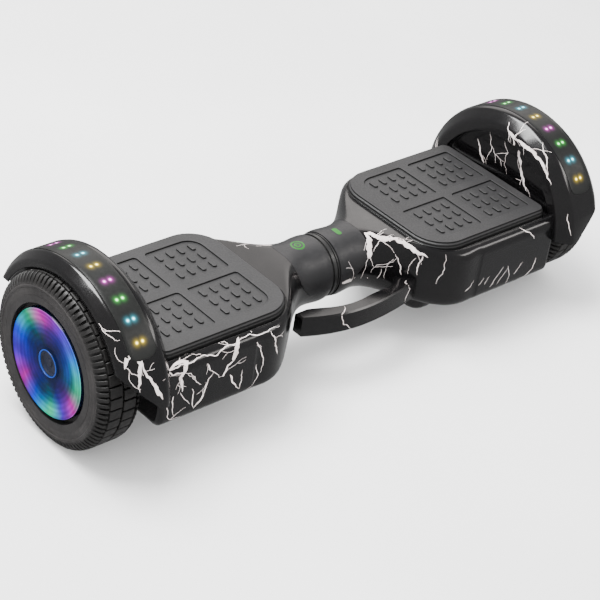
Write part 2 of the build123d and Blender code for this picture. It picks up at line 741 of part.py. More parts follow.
with BuildPart() as body_screws:
    with Locations(*[(x, y, rib_bottom - 4) for x, y in boss_places]):
        Cylinder(screw_head_radius, screw_head_height,
                 align=(Align.CENTER, Align.CENTER, Align.MAX))
        Cylinder(screw_radius, screw_length, align=(Align.CENTER, Align.CENTER, Align.MIN))
    with Locations(*[(x, y, plate_bottom) for x, y in upper_boss_places]):
        Cylinder(screw_head_radius, screw_head_height,
                 align=(Align.CENTER, Align.CENTER, Align.MAX))
        Cylinder(screw_radius, screw_length, align=(Align.CENTER, Align.CENTER, Align.MIN))
    with Locations(*[(x, y, axle_z + clamp_height) for x, y in clamp_screw_places]):
        Cylinder(screw_head_radius, screw_head_height,
                 align=(Align.CENTER, Align.CENTER, Align.MAX))
        Cylinder(screw_radius, clamp_height, align=(Align.CENTER, Align.CENTER, Align.MAX))
save(mirror(body_screws.part, about=Plane.YZ), "left_body_screws")

with BuildPart() as right_screws:
    add(body_screws.part)
    with Locations(*handle_screw_places):
        Cylinder(screw_head_radius, screw_head_height,
                 align=(Align.CENTER, Align.CENTER, Align.MAX))
        Cylinder(screw_radius, 15, align=(Align.CENTER, Align.CENTER, Align.MIN))
save(right_screws.part, "right_body_screws")

# ---- Electrics --------------------------------------------------------------------------------
with BuildPart() as battery:
    with Locations((-battery_mid_x, 0, plate_bottom - battery_size[2] / 2)):
        Box(*battery_size)
    fillet(battery.edges().filter_by(Axis.X), 8)
save(battery.part, "battery_pack")

with BuildPart() as strap:
    with Locations((-battery_mid_x, 0, plate_bottom - battery_size[2] / 2)):
        wide = battery_size[1] + 2 * strap_thickness
        Box(strap_width, wide, battery_size[2])
    with Locations((-battery_mid_x, 0, plate_bottom - battery_size[2] - strap_thickness / 2)):
        Box(strap_width, wide, strap_thickness)
    with Locations((-battery_mid_x, 0, plate_bottom - strap_thickness / 2)):
        Box(strap_width, wide + 16, strap_thickness)
    with Locations((-battery_mid_x, 0, plate_bottom - battery_size[2] / 2)):
        Box(2 * strap_width, battery_size[1], battery_size[2], mode=Mode.SUBTRACT)
save(strap.part, "battery_strap")

with BuildPart() as mainboard:
    with Locations((mainboard_mid_x, 0, mainboard_z)):
        Box(mainboard_size[0], mainboard_size[1], board_thickness)
    top = mainboard_z + board_thickness / 2
    with Locations(*[(mainboard_mid_x + x, y, top) for x in (-44, 44) for y in (-34, 34)]):
        Cylinder(3, plate_bottom - top, align=(Align.CENTER, Align.CENTER, Align.MIN))
    with Locations(*[(mainboard_mid_x - 30 + 12 * step, 14, mainboard_z) for step in range(6)]):
        Cylinder(4.5, 14, align=(Align.CENTER, Align.CENTER, Align.MAX))
    with Locations((mainboard_mid_x, -16, mainboard_z - board_thickness / 2)):
        Box(80, 22, 12, align=(Align.CENTER, Align.CENTER, Align.MAX))
save(mainboard.part, "mainboard")

with BuildPart() as gyro_board:
    with Locations((gyro_mid_x, 0, gyro_z + board_thickness / 2)):
        Box(gyro_size[0], gyro_size[1], board_thickness)
    with Locations(*[(gyro_mid_x + x, y, plate_top) for x in (-50, 30) for y in (-31, 31)]):
        Cylinder(3, gyro_z - plate_top, align=(Align.CENTER, Align.CENTER, Align.MIN))
    with Locations(*[(x, y, gyro_z + board_thickness) for x, y in stalk_places]):
        Cylinder(3, stalk_tip_z - gyro_z - board_thickness - mat_travel - 0.3,
                 align=(Align.CENTER, Align.CENTER, Align.MIN))
    with Locations((clamp_mid_x, 0, gyro_z)):
        Box(clamp_length + 1, 2 * clamp_half_width + 1, 20, mode=Mode.SUBTRACT)
save_pair(gyro_board.part, "gyro_board")

# ---- Wheel ------------------------------------------------------------------------------------
def wheel_ring(*outline):
    """A body of revolution on the wheel's axis; the outline is (offset from mid plane, radius)."""
    with BuildPart() as ring:
        with BuildSketch(Plane.XZ):
            with BuildLine():
                Polyline(*[(tyre_mid_x + u, axle_z + r) for u, r in outline], close=True)
            make_face()
        revolve(axis=wheel_line)
    return ring.part


half = tyre_width / 2
seat = half - rim_flange_width - 0.5
tread = tyre_tread_width / 2
with BuildPart() as tyre:
    add(wheel_ring((-seat, rim_radius), (-seat, rim_radius + rim_flange), (-half, 66),
                   (-half, tyre_radius - 10), (-half + 1.2, tyre_radius - 5),
                   (-tread, tyre_radius), (-8, tyre_radius),
                   (-8, tyre_radius - tyre_tread_depth),
                   (-8 + tyre_groove_width, tyre_radius - tyre_tread_depth),
                   (-8 + tyre_groove_width, tyre_radius),
                   (8 - tyre_groove_width, tyre_radius),
                   (8 - tyre_groove_width, tyre_radius - tyre_tread_depth),
                   (8, tyre_radius - tyre_tread_depth), (8, tyre_radius),
                   (tread, tyre_radius), (half - 1.2, tyre_radius - 5),
                   (half, tyre_radius - 10), (half, 66), (seat, rim_radius + rim_flange),
                   (seat, rim_radius)))
save_pair(tyre.part, "tyre")

cover_face = 15.0
inner_face = -half + 1
rim = wheel_ring((-seat - rim_flange_width, magnet_radius),
                 (-seat - rim_flange_width, rim_radius + rim_flange),
                 (-seat, rim_radius + rim_flange), (-seat, rim_radius), (seat, rim_radius),
                 (seat, rim_radius + rim_flange), (seat + rim_flange_width, rim_radius + rim_flange),
                 (seat + rim_flange_width, magnet_radius))
save_pair(rim, "rotor_rim")

stack_low = -stator_stack / 2 - 4
with BuildPart() as magnets:
    pitch = 360 / magnet_count
    with BuildSketch(Plane.YZ.offset(tyre_mid_x + stack_low)):
        with Locations((0, axle_z)):
            Circle(magnet_radius)
            Circle(magnet_radius - magnet_thickness, mode=Mode.SUBTRACT)
            with PolarLocations(magnet_radius, magnet_count):
                Rectangle(3 * magnet_thickness, 2, mode=Mode.SUBTRACT)
    extrude(amount=stator_stack)
save_pair(magnets.part, "rotor_magnets")

shoe_radius = stator_radius - shoe_thickness
with BuildPart() as stator_core:
    with BuildSketch(Plane.YZ.offset(tyre_mid_x + stack_low)):
        with Locations((0, axle_z)):
            Circle(stator_back_iron)
            with PolarLocations((stator_back_iron + shoe_radius) / 2, stator_slots):
                Rectangle(shoe_radius - stator_back_iron + 2, tooth_width)
            with PolarLocations(stator_radius - shoe_thickness / 2, stator_slots):
                Rectangle(shoe_thickness, 2 * stator_radius * sin(radians(180 / stator_slots))
                          - slot_opening)
            Circle(stator_radius, mode=Mode.INTERSECT)
            Circle(axle_radius, mode=Mode.SUBTRACT)
    extrude(amount=stator_stack)
save_pair(stator_core.part, "stator_core")

with BuildPart() as coils:
    for step in range(stator_slots):
        angle = 360 / stator_slots * step
        mid = (stator_back_iron + shoe_radius) / 2 + 1.5
        place = Location((tyre_mid_x + stack_low + stator_stack / 2, mid * cos(radians(angle)),
                          axle_z + mid * sin(radians(angle))), (angle, 0, 0))
        with Locations(place):
            Box(stator_stack + 2 * (coil_fit + coil_wall), shoe_radius - stator_back_iron - 6,
                tooth_width + 2 * (coil_fit + coil_wall))
            Box(stator_stack + 2 * coil_fit, shoe_radius, tooth_width + 2 * coil_fit,
                mode=Mode.SUBTRACT)
save_pair(coils.part, "stator_coils")

inner_bearing_low = inner_face
outer_bearing_high = cover_face
with BuildPart() as axle:
    start_x = chassis_end_x - clamp_length
    with BuildSketch(Plane.YZ.offset(start_x)):
        with Locations((0, axle_z)):
            Circle(axle_radius)
    extrude(amount=tyre_mid_x + outer_bearing_high - bearing_width - 0.5 - start_x)
    with BuildSketch(Plane.YZ.offset(start_x)):
        with Locations((0, axle_z)):
            Circle(axle_nose_radius)
    extrude(amount=tyre_mid_x + outer_bearing_high - 0.5 - start_x)
    with BuildSketch(Plane.YZ.offset(start_x)):
        with Locations((0, axle_z)):
            Circle(3)
    extrude(amount=60, mode=Mode.SUBTRACT)
save_pair(axle.part, "motor_axle")

with BuildPart() as bearings:
    add(wheel_ring((inner_bearing_low, axle_radius + running_fit),
                   (inner_bearing_low, inner_bearing_radius),
                   (inner_bearing_low + bearing_width, inner_bearing_radius),
                   (inner_bearing_low + bearing_width, axle_radius + running_fit)))
    add(wheel_ring((outer_bearing_high - bearing_width, axle_nose_radius + running_fit),
                   (outer_bearing_high - bearing_width, outer_bearing_radius),
                   (outer_bearing_high, outer_bearing_radius),
                   (outer_bearing_high, axle_nose_radius + running_fit)))
save_pair(bearings.part, "wheel_bearings")

save_pair(wheel_ring((inner_face, inner_bearing_radius), (inner_face, magnet_radius),
                     (inner_face + motor_cover_thickness, magnet_radius),
                     (inner_face + motor_cover_thickness, inner_bearing_radius + 4),
                     (inner_face + bearing_width, inner_bearing_radius + 4),
                     (inner_face + bearing_width, inner_bearing_radius)), "motor_inner_cover")
save_pair(wheel_ring((cover_face, outer_bearing_radius), (cover_face, magnet_radius),
                     (cover_face - motor_cover_thickness, magnet_radius),
                     (cover_face - motor_cover_thickness, outer_bearing_radius + 4),
                     (cover_face - bearing_width, outer_bearing_radius + 4),
                     (cover_face - bearing_width, outer_bearing_radius)), "motor_outer_cover")

with BuildPart() as light_board:
    add(wheel_ring((cover_face, hub_hole_radius + 3), (cover_face, lens_radius - lens_wall),
                   (cover_face + board_thickness, lens_radius - lens_wall),
                   (cover_face + board_thickness, hub_hole_radius + 3)))
    with BuildSketch(Plane.YZ.offset(tyre_mid_x + cover_face + board_thickness)):
        with Locations((0, axle_z)):
            with PolarLocations(lens_radius - 10, 12):
                Rectangle(4, 4)
    extrude(amount=led_height)
save_pair(light_board.part, "wheel_light_board")

lens_face = half + lens_proud
save_pair(wheel_ring((cover_face, lens_radius - lens_wall), (cover_face, lens_radius),
                     (lens_face - 2.5, lens_radius), (lens_face, lens_radius - 2.5),
                     (lens_face, hub_hole_radius + 1), (lens_face - 1, hub_hole_radius),
                     (lens_face - lens_wall, hub_hole_radius),
                     (lens_face - lens_wall, lens_radius - lens_wall)), "wheel_lens")
save_pair(wheel_ring((cover_face, 0), (cover_face, hub_hole_radius + 2),
                     (lens_face - lens_wall, hub_hole_radius + 2),
                     (lens_face - lens_wall, hub_hole_radius),
                     (lens_face - 1.5, hub_hole_radius), (lens_face - 2.5, hub_hole_radius - 2),
                     (lens_face - 2.5, 0)), "hub_cap")
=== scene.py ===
import json
from random import Random
from math import cos, pi, radians, sin

import bpy
from mathutils import Matrix, Quaternion, Vector
from mathutils.bvhtree import BVHTree


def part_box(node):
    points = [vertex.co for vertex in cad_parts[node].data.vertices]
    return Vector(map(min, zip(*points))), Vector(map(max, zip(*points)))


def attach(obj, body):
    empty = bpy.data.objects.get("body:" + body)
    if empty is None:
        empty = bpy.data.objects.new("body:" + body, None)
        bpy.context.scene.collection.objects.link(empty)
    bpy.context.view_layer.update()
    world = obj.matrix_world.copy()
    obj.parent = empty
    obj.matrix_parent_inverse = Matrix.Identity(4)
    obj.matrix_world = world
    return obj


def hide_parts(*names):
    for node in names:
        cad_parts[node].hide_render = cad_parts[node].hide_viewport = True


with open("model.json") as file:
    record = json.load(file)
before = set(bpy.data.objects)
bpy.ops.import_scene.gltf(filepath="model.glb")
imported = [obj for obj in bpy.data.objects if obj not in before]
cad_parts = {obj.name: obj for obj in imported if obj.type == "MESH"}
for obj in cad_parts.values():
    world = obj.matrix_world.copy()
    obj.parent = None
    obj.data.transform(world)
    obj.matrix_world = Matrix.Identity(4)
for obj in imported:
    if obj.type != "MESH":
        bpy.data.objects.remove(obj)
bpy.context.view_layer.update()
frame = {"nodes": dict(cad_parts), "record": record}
nodes = frame["nodes"]

MM = 0.001
SIDES = {"left": -1, "right": 1}

# ---- Places and sizes, read from the frame --------------------------------------------------
tyre_low, tyre_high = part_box("right_tyre")
AXLE_Z = (tyre_low.z + tyre_high.z) / 2
TYRE_RADIUS = (tyre_high.z - tyre_low.z) / 2
TYRE_MID_X = (tyre_low.x + tyre_high.x) / 2
TYRE_HALF = (tyre_high.x - tyre_low.x) / 2
lens_low, lens_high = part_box("right_wheel_lens")
LENS_RADIUS = (lens_high.z - lens_low.z) / 2
FENDER_Z = 74.5 * MM              # the fender arch's centre line, as in the CAD
film_low, film_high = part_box("right_fender_lens")
FENDER_RADIUS = film_high.z - FENDER_Z
BAND_X = (film_low.x + film_high.x) / 2
BAND_HALF = (film_high.x - film_low.x) / 2
mat_low, mat_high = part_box("right_foot_mat")
PRINT_LIFT = 0.12 * MM
LIGHT_PAIRS = 10
LIGHT_PITCH = 11.0                # degrees along the arch
LIGHT_SPACING = 6.0 * MM          # between the two lights of a pair


# ---- Material helpers -----------------------------------------------------------------------
class Shader:
    """A short way to write a material's node tree."""

    def __init__(self, name):
        self.material = bpy.data.materials.new(name)
        self.material.use_nodes = True
        self.tree = self.material.node_tree
        self.surface = self.tree.nodes["Principled BSDF"]

    def put(self, socket, value):
        """Set a socket to a constant, or link it to another node's output."""
        if isinstance(value, bpy.types.NodeSocket):
            self.tree.links.new(value, socket)
        else:
            socket.default_value = value

    def node(self, kind, out=0, settings=None, **inputs):
        made = self.tree.nodes.new("ShaderNode" + kind)
        for key, value in (settings or {}).items():
            setattr(made, key, value)
        for key, value in inputs.items():
            index = int(key[1:]) if key[0] == "i" and key[1:].isdigit() else key.replace("_", " ")
            self.put(made.inputs[index], value)
        return made.outputs[out]

    def math(self, operation, a, b=0.0, c=0.0):
        return self.node("Math", settings={"operation": operation}, i0=a, i1=b, i2=c)

    def place(self):
        return self.node("TexCoord", out="Object")

    def axes(self):
        split = self.tree.nodes.new("ShaderNodeSeparateXYZ")
        self.tree.links.new(self.place(), split.inputs[0])
        return split.outputs

    def noise(self, scale, detail=3.0, roughness=0.5, distortion=0.0, out=0):
        return self.node("TexNoise", out=out, Vector=self.place(), Scale=scale, Detail=detail,
                         Roughness=roughness, Distortion=distortion)

    def ramp(self, value, *stops):
        made = self.tree.nodes.new("ShaderNodeValToRGB")
        ramp = made.color_ramp
        while len(ramp.elements) < len(stops):
            ramp.elements.new(0.5)
        for element, (position, colour) in zip(ramp.elements, stops):
            element.position = position
            grey = isinstance(colour, (int, float))
            element.color = (colour, colour, colour, 1) if grey else (*colour, 1)
        self.put(made.inputs[0], value)
        return made.outputs[0]

    def between(self, value, low, high, to_low=0.0, to_high=1.0):
        return self.node("MapRange", Value=value, From_Min=low, From_Max=high, To_Min=to_low,
                         To_Max=to_high)

    def mix(self, factor, a, b, blend="MIX"):
        made = self.tree.nodes.new("ShaderNodeMix")
        made.data_type = "RGBA"
        made.blend_type = blend
        self.put(made.inputs[0], factor)
        for socket, value in ((made.inputs[6], a), (made.inputs[7], b)):
            flat = not isinstance(value, bpy.types.NodeSocket)
            self.put(socket, (*value, 1) if flat and len(value) == 3 else value)
        return made.outputs[2]

    def bump(self, height, strength, distance):
        self.put(self.surface.inputs["Normal"], self.node("Bump", Height=height,
                                                          Strength=strength, Distance=distance))

    def set(self, **inputs):
        for key, value in inputs.items():
            if isinstance(value, tuple) and len(value) == 3:
                value = (*value, 1)
            self.put(self.surface.inputs[key.replace("_", " ")], value)
        return self.material


def gloss_black():
    s = Shader("gloss_black")
    haze = s.noise(14, 4, 0.6)
    tint = s.ramp(haze, (0.3, (0.0016, 0.0016, 0.002)), (0.7, (0.0042, 0.0038, 0.004)))
    rough = s.between(s.noise(60, 5, 0.65), 0.3, 0.7, 0.14, 0.24)
    s.bump(s.noise(900, 2, 0.5), 0.03, 0.0001)
    return s.set(Base_Color=tint, Roughness=rough, Coat_Weight=0.2, Coat_Roughness=0.08)


def matt_panel():
    s = Shader("matt_panel")
    tint = s.ramp(s.noise(40, 4), (0.3, (0.0095, 0.0095, 0.0105)), (0.7, (0.0135, 0.013, 0.014)))
    rough = s.between(s.noise(300, 3), 0.3, 0.7, 0.36, 0.50)
    s.bump(s.noise(2600, 2), 0.12, 0.0002)
    return s.set(Base_Color=tint, Roughness=rough)


def mat_rubber():
    s = Shader("mat_rubber")
    tint = s.ramp(s.noise(30, 5, 0.6), (0.3, (0.0115, 0.0115, 0.012)), (0.7, (0.0175, 0.017, 0.018)))
    dust = s.ramp(s.noise(700, 4, 0.7), (0.35, 0.0), (0.75, 0.10))
    tint = s.mix(dust, tint, (0.055, 0.052, 0.05))
    # Painted shade: the mat's side wall is darkened towards its bottom, standing in for the shade in the
    # gap around the mat's pocket.
    height = s.between(s.axes()[2], 110.5 * MM, 112.2 * MM)
    tint = s.mix(height, (0.004, 0.004, 0.0042), tint)
    # Painted shade: a dark band on the side walls of the raised border, cross and dashes, above the recess
    # floor, standing in for the shade in the recesses.
    level = s.between(s.axes()[2], 112.0 * MM, 115.0 * MM)
    wall = s.ramp(level, (0.245, 0.0), (0.27, 1.0), (0.64, 1.0), (0.72, 0.0))
    tint = s.mix(wall, tint, (0.0012, 0.0012, 0.0013))
    rough = s.between(s.noise(500, 4), 0.3, 0.7, 0.48, 0.68)
    s.bump(s.noise(3200, 3, 0.6), 0.25, 0.0002)
    return s.set(Base_Color=tint, Roughness=rough)


def tyre_rubber():
    s = Shader("tyre_rubber")
    tint = s.ramp(s.noise(55, 5, 0.6), (0.3, (0.0050, 0.0045, 0.0045)), (0.7, (0.0115, 0.0105, 0.010)))
    x, y, z = s.axes()
    radius = s.math("SQRT", s.math("ADD", s.math("POWER", y, 2.0),
                                   s.math("POWER", s.math("SUBTRACT", z, AXLE_Z), 2.0)))
    side = s.between(radius, 73.0 * MM, 74.5 * MM, 1.0, 0.0)
    worn = s.ramp(s.noise(35, 4), (0.3, (0.015, 0.0135, 0.0135)), (0.7, (0.026, 0.0235, 0.023)))
    tint = s.mix(side, tint, worn)
    rough = s.between(s.noise(260, 4), 0.3, 0.7, 0.42, 0.62)
    s.bump(s.noise(1800, 4, 0.65), 0.3, 0.0003)
    return s.set(Base_Color=tint, Roughness=rough)


def plain(name, low, high, rough, metal=0.0, scale=60):
    """A moulded or machined finish: a colour that varies a little, with fine grain."""
    s = Shader(name)
    tint = s.ramp(s.noise(scale, 4, 0.6), (0.3, low), (0.7, high))
    roughness = s.between(s.noise(8 * scale, 3), 0.3, 0.7, rough * 0.85, rough * 1.15)
    s.bump(s.noise(25 * scale, 2), 0.1, 0.0002)
    return s.set(Base_Color=tint, Roughness=roughness, Metallic=metal)


GLOSS = gloss_black()
finishes = {
    "shell": GLOSS,
    "panel": matt_panel(),
    "mat_rubber": mat_rubber(),
    "tyre_rubber": tyre_rubber(),
    "fender_lights": plain("lamp_strip", (0.5, 0.5, 0.5), (0.62, 0.62, 0.6), 0.5),
    "board": plain("circuit_board", (0.01, 0.09, 0.04), (0.02, 0.14, 0.06), 0.4, scale=200),
    "cast_metal": plain("cast_metal", (0.42, 0.43, 0.45), (0.55, 0.56, 0.58), 0.42, 1.0),
    "steel": plain("machined_steel", (0.45, 0.45, 0.46), (0.6, 0.6, 0.61), 0.28, 1.0, 200),
    "core_iron": plain("laminated_iron", (0.16, 0.16, 0.17), (0.26, 0.26, 0.27), 0.5, 1.0, 300),
    "winding": plain("copper_wire", (0.55, 0.20, 0.08), (0.70, 0.32, 0.14), 0.3, 1.0, 500),
    "magnet": plain("nickel_plate", (0.5, 0.49, 0.46), (0.6, 0.59, 0.56), 0.22, 1.0),
    "hub_plastic": plain("hub_plastic", (0.004, 0.006, 0.016), (0.006, 0.010, 0.028), 0.4),
    "seal_rubber": plain("seal_rubber", (0.008, 0.008, 0.008), (0.016, 0.016, 0.016), 0.35),
    "battery_wrap": plain("shrink_film", (0.02, 0.07, 0.28), (0.03, 0.10, 0.36), 0.25),
    "port_plastic": plain("port_plastic", (0.015, 0.015, 0.016), (0.025, 0.025, 0.026), 0.45),
    "bronze": plain("sintered_bronze", (0.45, 0.28, 0.12), (0.55, 0.36, 0.17), 0.4, 1.0, 400),
}


def fender_film():
    """Smoked film that glows where the pairs of small lights lie under it."""
    s = Shader("smoked_film_lit")
    x, y, z = s.axes()
    forward = s.math("ARCTAN2", s.math("MULTIPLY", y, -1.0), s.math("SUBTRACT", z, FENDER_Z))
    pitch = radians(LIGHT_PITCH)
    step = s.math("ADD", s.math("DIVIDE", forward, pitch), LIGHT_PAIRS / 2)
    pair = s.math("FLOOR", step)
    along = s.math("MULTIPLY", s.math("SUBTRACT", s.math("FRACT", step), 0.5),
                   pitch * FENDER_RADIUS)
    across = s.math("SUBTRACT", s.math("ABSOLUTE", x), BAND_X)
    beside = s.math("SUBTRACT", s.math("ABSOLUTE", across), LIGHT_SPACING / 2)
    gap = s.math("SQRT", s.math("ADD", s.math("POWER", along, 2.0), s.math("POWER", beside, 2.0)))
    inside = s.math("LESS_THAN", s.math("ABSOLUTE", forward), pitch * LIGHT_PAIRS / 2)

    def glow(reach, power):
        fall = s.math("EXPONENT", s.math("MULTIPLY", s.math("POWER", s.math("DIVIDE", gap, reach),
                                                            2.0), -1.0))
        return s.math("MULTIPLY", s.math("MULTIPLY", fall, power), inside)

    cycle = s.math("DIVIDE", s.math("ADD", s.math("MODULO", pair, 4.0), 0.5), 4.0)
    hue = s.ramp(cycle, (0.0, (0.08, 0.75, 0.95)), (0.25, (1.0, 0.72, 0.0)),
                 (0.5, (0.95, 0.08, 0.80)), (0.75, (0.10, 0.90, 0.12)))
    hue.node.color_ramp.interpolation = "CONSTANT"
    core = glow(1.0 * MM, 1.0)
    light = s.mix(s.math("MULTIPLY", core, 0.55), hue, (1.0, 1.0, 0.95))
    power = s.math("ADD", glow(1.15 * MM, 7.0), glow(3.2 * MM, 0.6))
    tint = s.ramp(s.noise(35, 3), (0.3, (0.0075, 0.008, 0.0076)), (0.7, (0.0105, 0.011, 0.0105)))
    rough = s.between(s.noise(240, 3), 0.3, 0.7, 0.30, 0.42)
    s.bump(s.noise(2200, 2), 0.05, 0.0002)
    return s.set(Base_Color=tint, Roughness=rough, Specular_IOR_Level=0.25,
                 Emission_Color=light, Emission_Strength=power)


def wheel_glow():
    """Translucent cover lit from behind: a bright coloured rim around a deep blue face."""
    s = Shader("wheel_glow")
    x, y, z = s.axes()
    up = s.math("SUBTRACT", z, AXLE_Z)
    radius = s.math("SQRT", s.math("ADD", s.math("POWER", y, 2.0), s.math("POWER", up, 2.0)))
    share = s.math("DIVIDE", radius, LENS_RADIUS)
    turn = s.math("DIVIDE", s.math("ARCTAN2", up, s.math("MULTIPLY", y, -1.0)), 2 * pi)
    turn = s.math("FRACT", s.math("ADD", turn, 1.0))
    wobble = s.math("MULTIPLY", s.math("SUBTRACT", s.noise(28, 2), 0.5), 0.10)
    turn = s.math("FRACT", s.math("ADD", s.math("ADD", turn, wobble), 1.0))
    teal, blue, violet = (0.0, 0.80, 0.36), (0.0, 0.06, 1.0), (0.14, 0.01, 1.0)
    pink, pale = (0.70, 0.0, 0.50), (0.0, 0.24, 1.0)
    rim_hue = s.ramp(turn, (0.0, teal), (0.10, pale), (0.20, violet), (0.29, pink),
                     (0.37, teal), (0.46, blue), (0.55, violet), (0.63, pink), (0.70, blue),
                     (0.78, teal), (0.85, violet), (0.93, pink), (1.0, teal))
    deep = s.ramp(s.noise(30, 3, 0.5, 0.6), (0.35, (0.0, 0.004, 0.05)), (0.65, (0.0, 0.012, 0.80)))
    face = s.mix(s.ramp(share, (0.25, 0.0), (0.62, 0.25), (0.80, 1.0)), deep, rim_hue)
    edge = s.ramp(share, (0.982, 0.0), (0.992, 1.0))
    light = s.mix(edge, face, (0.55, 0.85, 1.0))
    power = s.ramp(share, (0.24, 0.03), (0.45, 0.28), (0.70, 0.45), (0.86, 0.8), (0.975, 0.7), (0.99, 1.6))
    rings = s.math("SINE", s.math("MULTIPLY", share, 70.0))
    power = s.math("MULTIPLY", power, s.between(rings, -1.0, 1.0, 0.82, 1.12))
    power = s.math("MULTIPLY", power, s.between(s.noise(45, 2), 0.35, 0.65, 0.7, 1.5))
    wall = s.math("MULTIPLY", s.math("GREATER_THAN", share, 0.985),
                  s.math("LESS_THAN", s.math("ABSOLUTE", x), lens_high.x - 1.5 * MM))
    power = s.math("MULTIPLY", power, s.math("SUBTRACT", 1.0, wall))
    rough = s.between(s.noise(120, 2), 0.3, 0.7, 0.12, 0.2)
    return s.set(Base_Color=(0.002, 0.004, 0.012), Roughness=rough,
                 Specular_IOR_Level=0.1, Emission_Color=light,
                 Emission_Strength=power)


def bolt_print():
    """The pale pink-white ink of the printed lightning, under the shell's clear gloss."""
    s = Shader("bolt_print")
    tint = s.ramp(s.noise(70, 4, 0.6), (0.3, (0.55, 0.47, 0.45)), (0.65, (0.85, 0.78, 0.76)))
    rough = s.between(s.noise(200, 3), 0.3, 0.7, 0.16, 0.26)
    return s.set(Base_Color=tint, Roughness=rough, Coat_Weight=0.35)


def lit_mark(name, colour, power):
    s = Shader(name)
    tint = s.mix(s.noise(300, 3), tuple(c * 0.8 for c in colour), colour)
    base = s.mix(1.0, (0, 0, 0), tuple(c * 0.1 for c in colour))
    return s.set(Base_Color=base, Roughness=0.3, Emission_Color=tint, Emission_Strength=power)


finishes["smoked_film"] = FILM = fender_film()
finishes["wheel_light"] = GLOW = wheel_glow()
finishes["green_light"] = GREEN = lit_mark("green_mark", (0.0, 0.42, 0.0), 0.8)
BOLT = bolt_print()
DARK_CAST = plain("painted_casting", (0.012, 0.011, 0.011), (0.022, 0.020, 0.020), 0.45)


# ---- Mesh helpers ---------------------------------------------------------------------------
def rounded(corners, steps=6):
    """A closed outline through (x, y, radius) corners, each turned by an arc of its radius."""
    outline = []
    for i, (x, y, radius) in enumerate(corners):
        corner = Vector((x, y))
        if radius <= 0:
            outline.append(corner)
            continue
        back = (Vector(corners[i - 1][:2]) - corner).normalized()
        on = (Vector(corners[(i + 1) % len(corners)][:2]) - corner).normalized()
        half = back.angle(on) / 2
        centre = corner + (back + on).normalized() * (radius / sin(half))
        first = corner + back * (radius * cos(half) / sin(half)) - centre
        last = corner + on * (radius * cos(half) / sin(half)) - centre
        sweep = first.angle(last)
        for k in range(steps + 1):
            share = k / steps
            arm = first * sin((1 - share) * sweep) + last * sin(share * sweep)
            outline.append(centre + arm / sin(sweep))
    return outline


def new_piece(name, points, edges=(), faces=()):
    """A mesh object, made the only selected and active one."""
    mesh = bpy.data.meshes.new(name)
    mesh.from_pydata([tuple(p) for p in points], list(edges), list(faces))
    piece = bpy.data.objects.new(name, mesh)
    bpy.context.scene.collection.objects.link(piece)
    choose(piece)
    return piece


def choose(*pieces):
    bpy.ops.object.select_all(action="DESELECT")
    for piece in pieces:
        piece.select_set(True)
    bpy.context.view_layer.objects.active = pieces[0]


def joined(*pieces):
    choose(*pieces)
    bpy.ops.object.join()
    return pieces[0]


def modify(piece, kind, **settings):
    """Add a modifier with its settings and apply it."""
    choose(piece)
    made = piece.modifiers.new(kind.lower(), kind)
    for key, value in settings.items():
        setattr(made, key, value)
    bpy.ops.object.modifier_apply(modifier=made.name)


def smooth(piece, angle=35):
    choose(piece)
    bpy.ops.object.shade_smooth_by_angle(angle=radians(angle))


def outward(piece):
    """Make a piece's faces point outwards."""
    choose(piece)
    bpy.ops.object.mode_set(mode="EDIT")
    bpy.ops.mesh.select_all(action="SELECT")
    bpy.ops.mesh.normals_make_consistent(inside=False)
    bpy.ops.object.mode_set(mode="OBJECT")


def spun(name, outline, line_z, start=0.0, sweep=2 * pi, steps=128, closed=True):
    """Spin an outline of (x, radius), in mm, about the line along X at a height; 0 is the top."""
    points = [(x * MM, -r * MM * sin(start), line_z + r * MM * cos(start)) for x, r in outline]
    edges = [(i, i + 1) for i in range(len(points) - 1)]
    if closed:
        edges.append((len(points) - 1, 0))
    piece = new_piece(name, points, edges)
    bpy.ops.object.mode_set(mode="EDIT")
    bpy.ops.mesh.select_all(action="SELECT")
    bpy.ops.mesh.spin(steps=steps, angle=-sweep, center=(0, 0, line_z), axis=(1, 0, 0))
    bpy.ops.mesh.select_all(action="SELECT")
    bpy.ops.mesh.remove_doubles(threshold=1e-6)
    if closed and sweep < 2 * pi - 0.01:
        bpy.ops.mesh.select_all(action="DESELECT")
        bpy.ops.mesh.select_non_manifold()
        bpy.ops.mesh.fill_holes(sides=0)
    bpy.ops.mesh.select_all(action="SELECT")
    bpy.ops.mesh.normals_make_consistent(inside=False)
    bpy.ops.object.mode_set(mode="OBJECT")
    return piece


def cut(piece, place, normal):
    """Cut away what lies on the normal's side of a plane, and close the cut."""
    choose(piece)
    bpy.ops.object.mode_set(mode="EDIT")
    bpy.ops.mesh.select_all(action="SELECT")
    bpy.ops.mesh.bisect(plane_co=place, plane_no=normal, use_fill=True, clear_outer=True)
    bpy.ops.object.mode_set(mode="OBJECT")


def turned_copies(piece, count, line_z):
    """Join a piece with copies of it spaced evenly around the line along X at a height."""
    copies = [piece]
    for k in range(1, count):
        copy = piece.copy()
        copy.data = piece.data.copy()
        about = Matrix.Translation((0, 0, line_z))
        copy.data.transform(about @ Matrix.Rotation(2 * pi * k / count, 4, "X") @ about.inverted())
        bpy.context.scene.collection.objects.link(copy)
        copies.append(copy)
    return joined(*copies)


class Surface:
    """The outside of some pieces, for laying the print on."""

    def __init__(self, *pieces):
        points, faces = [], []
        for piece in pieces:
            first = len(points)
            points += [v.co.copy() for v in piece.data.vertices]
            faces += [[first + i for i in p.vertices] for p in piece.data.polygons]
        self.tree = BVHTree.FromPolygons(points, faces)

    def on(self, point):
        place, normal, index, distance = self.tree.find_nearest(point)
        return place, normal


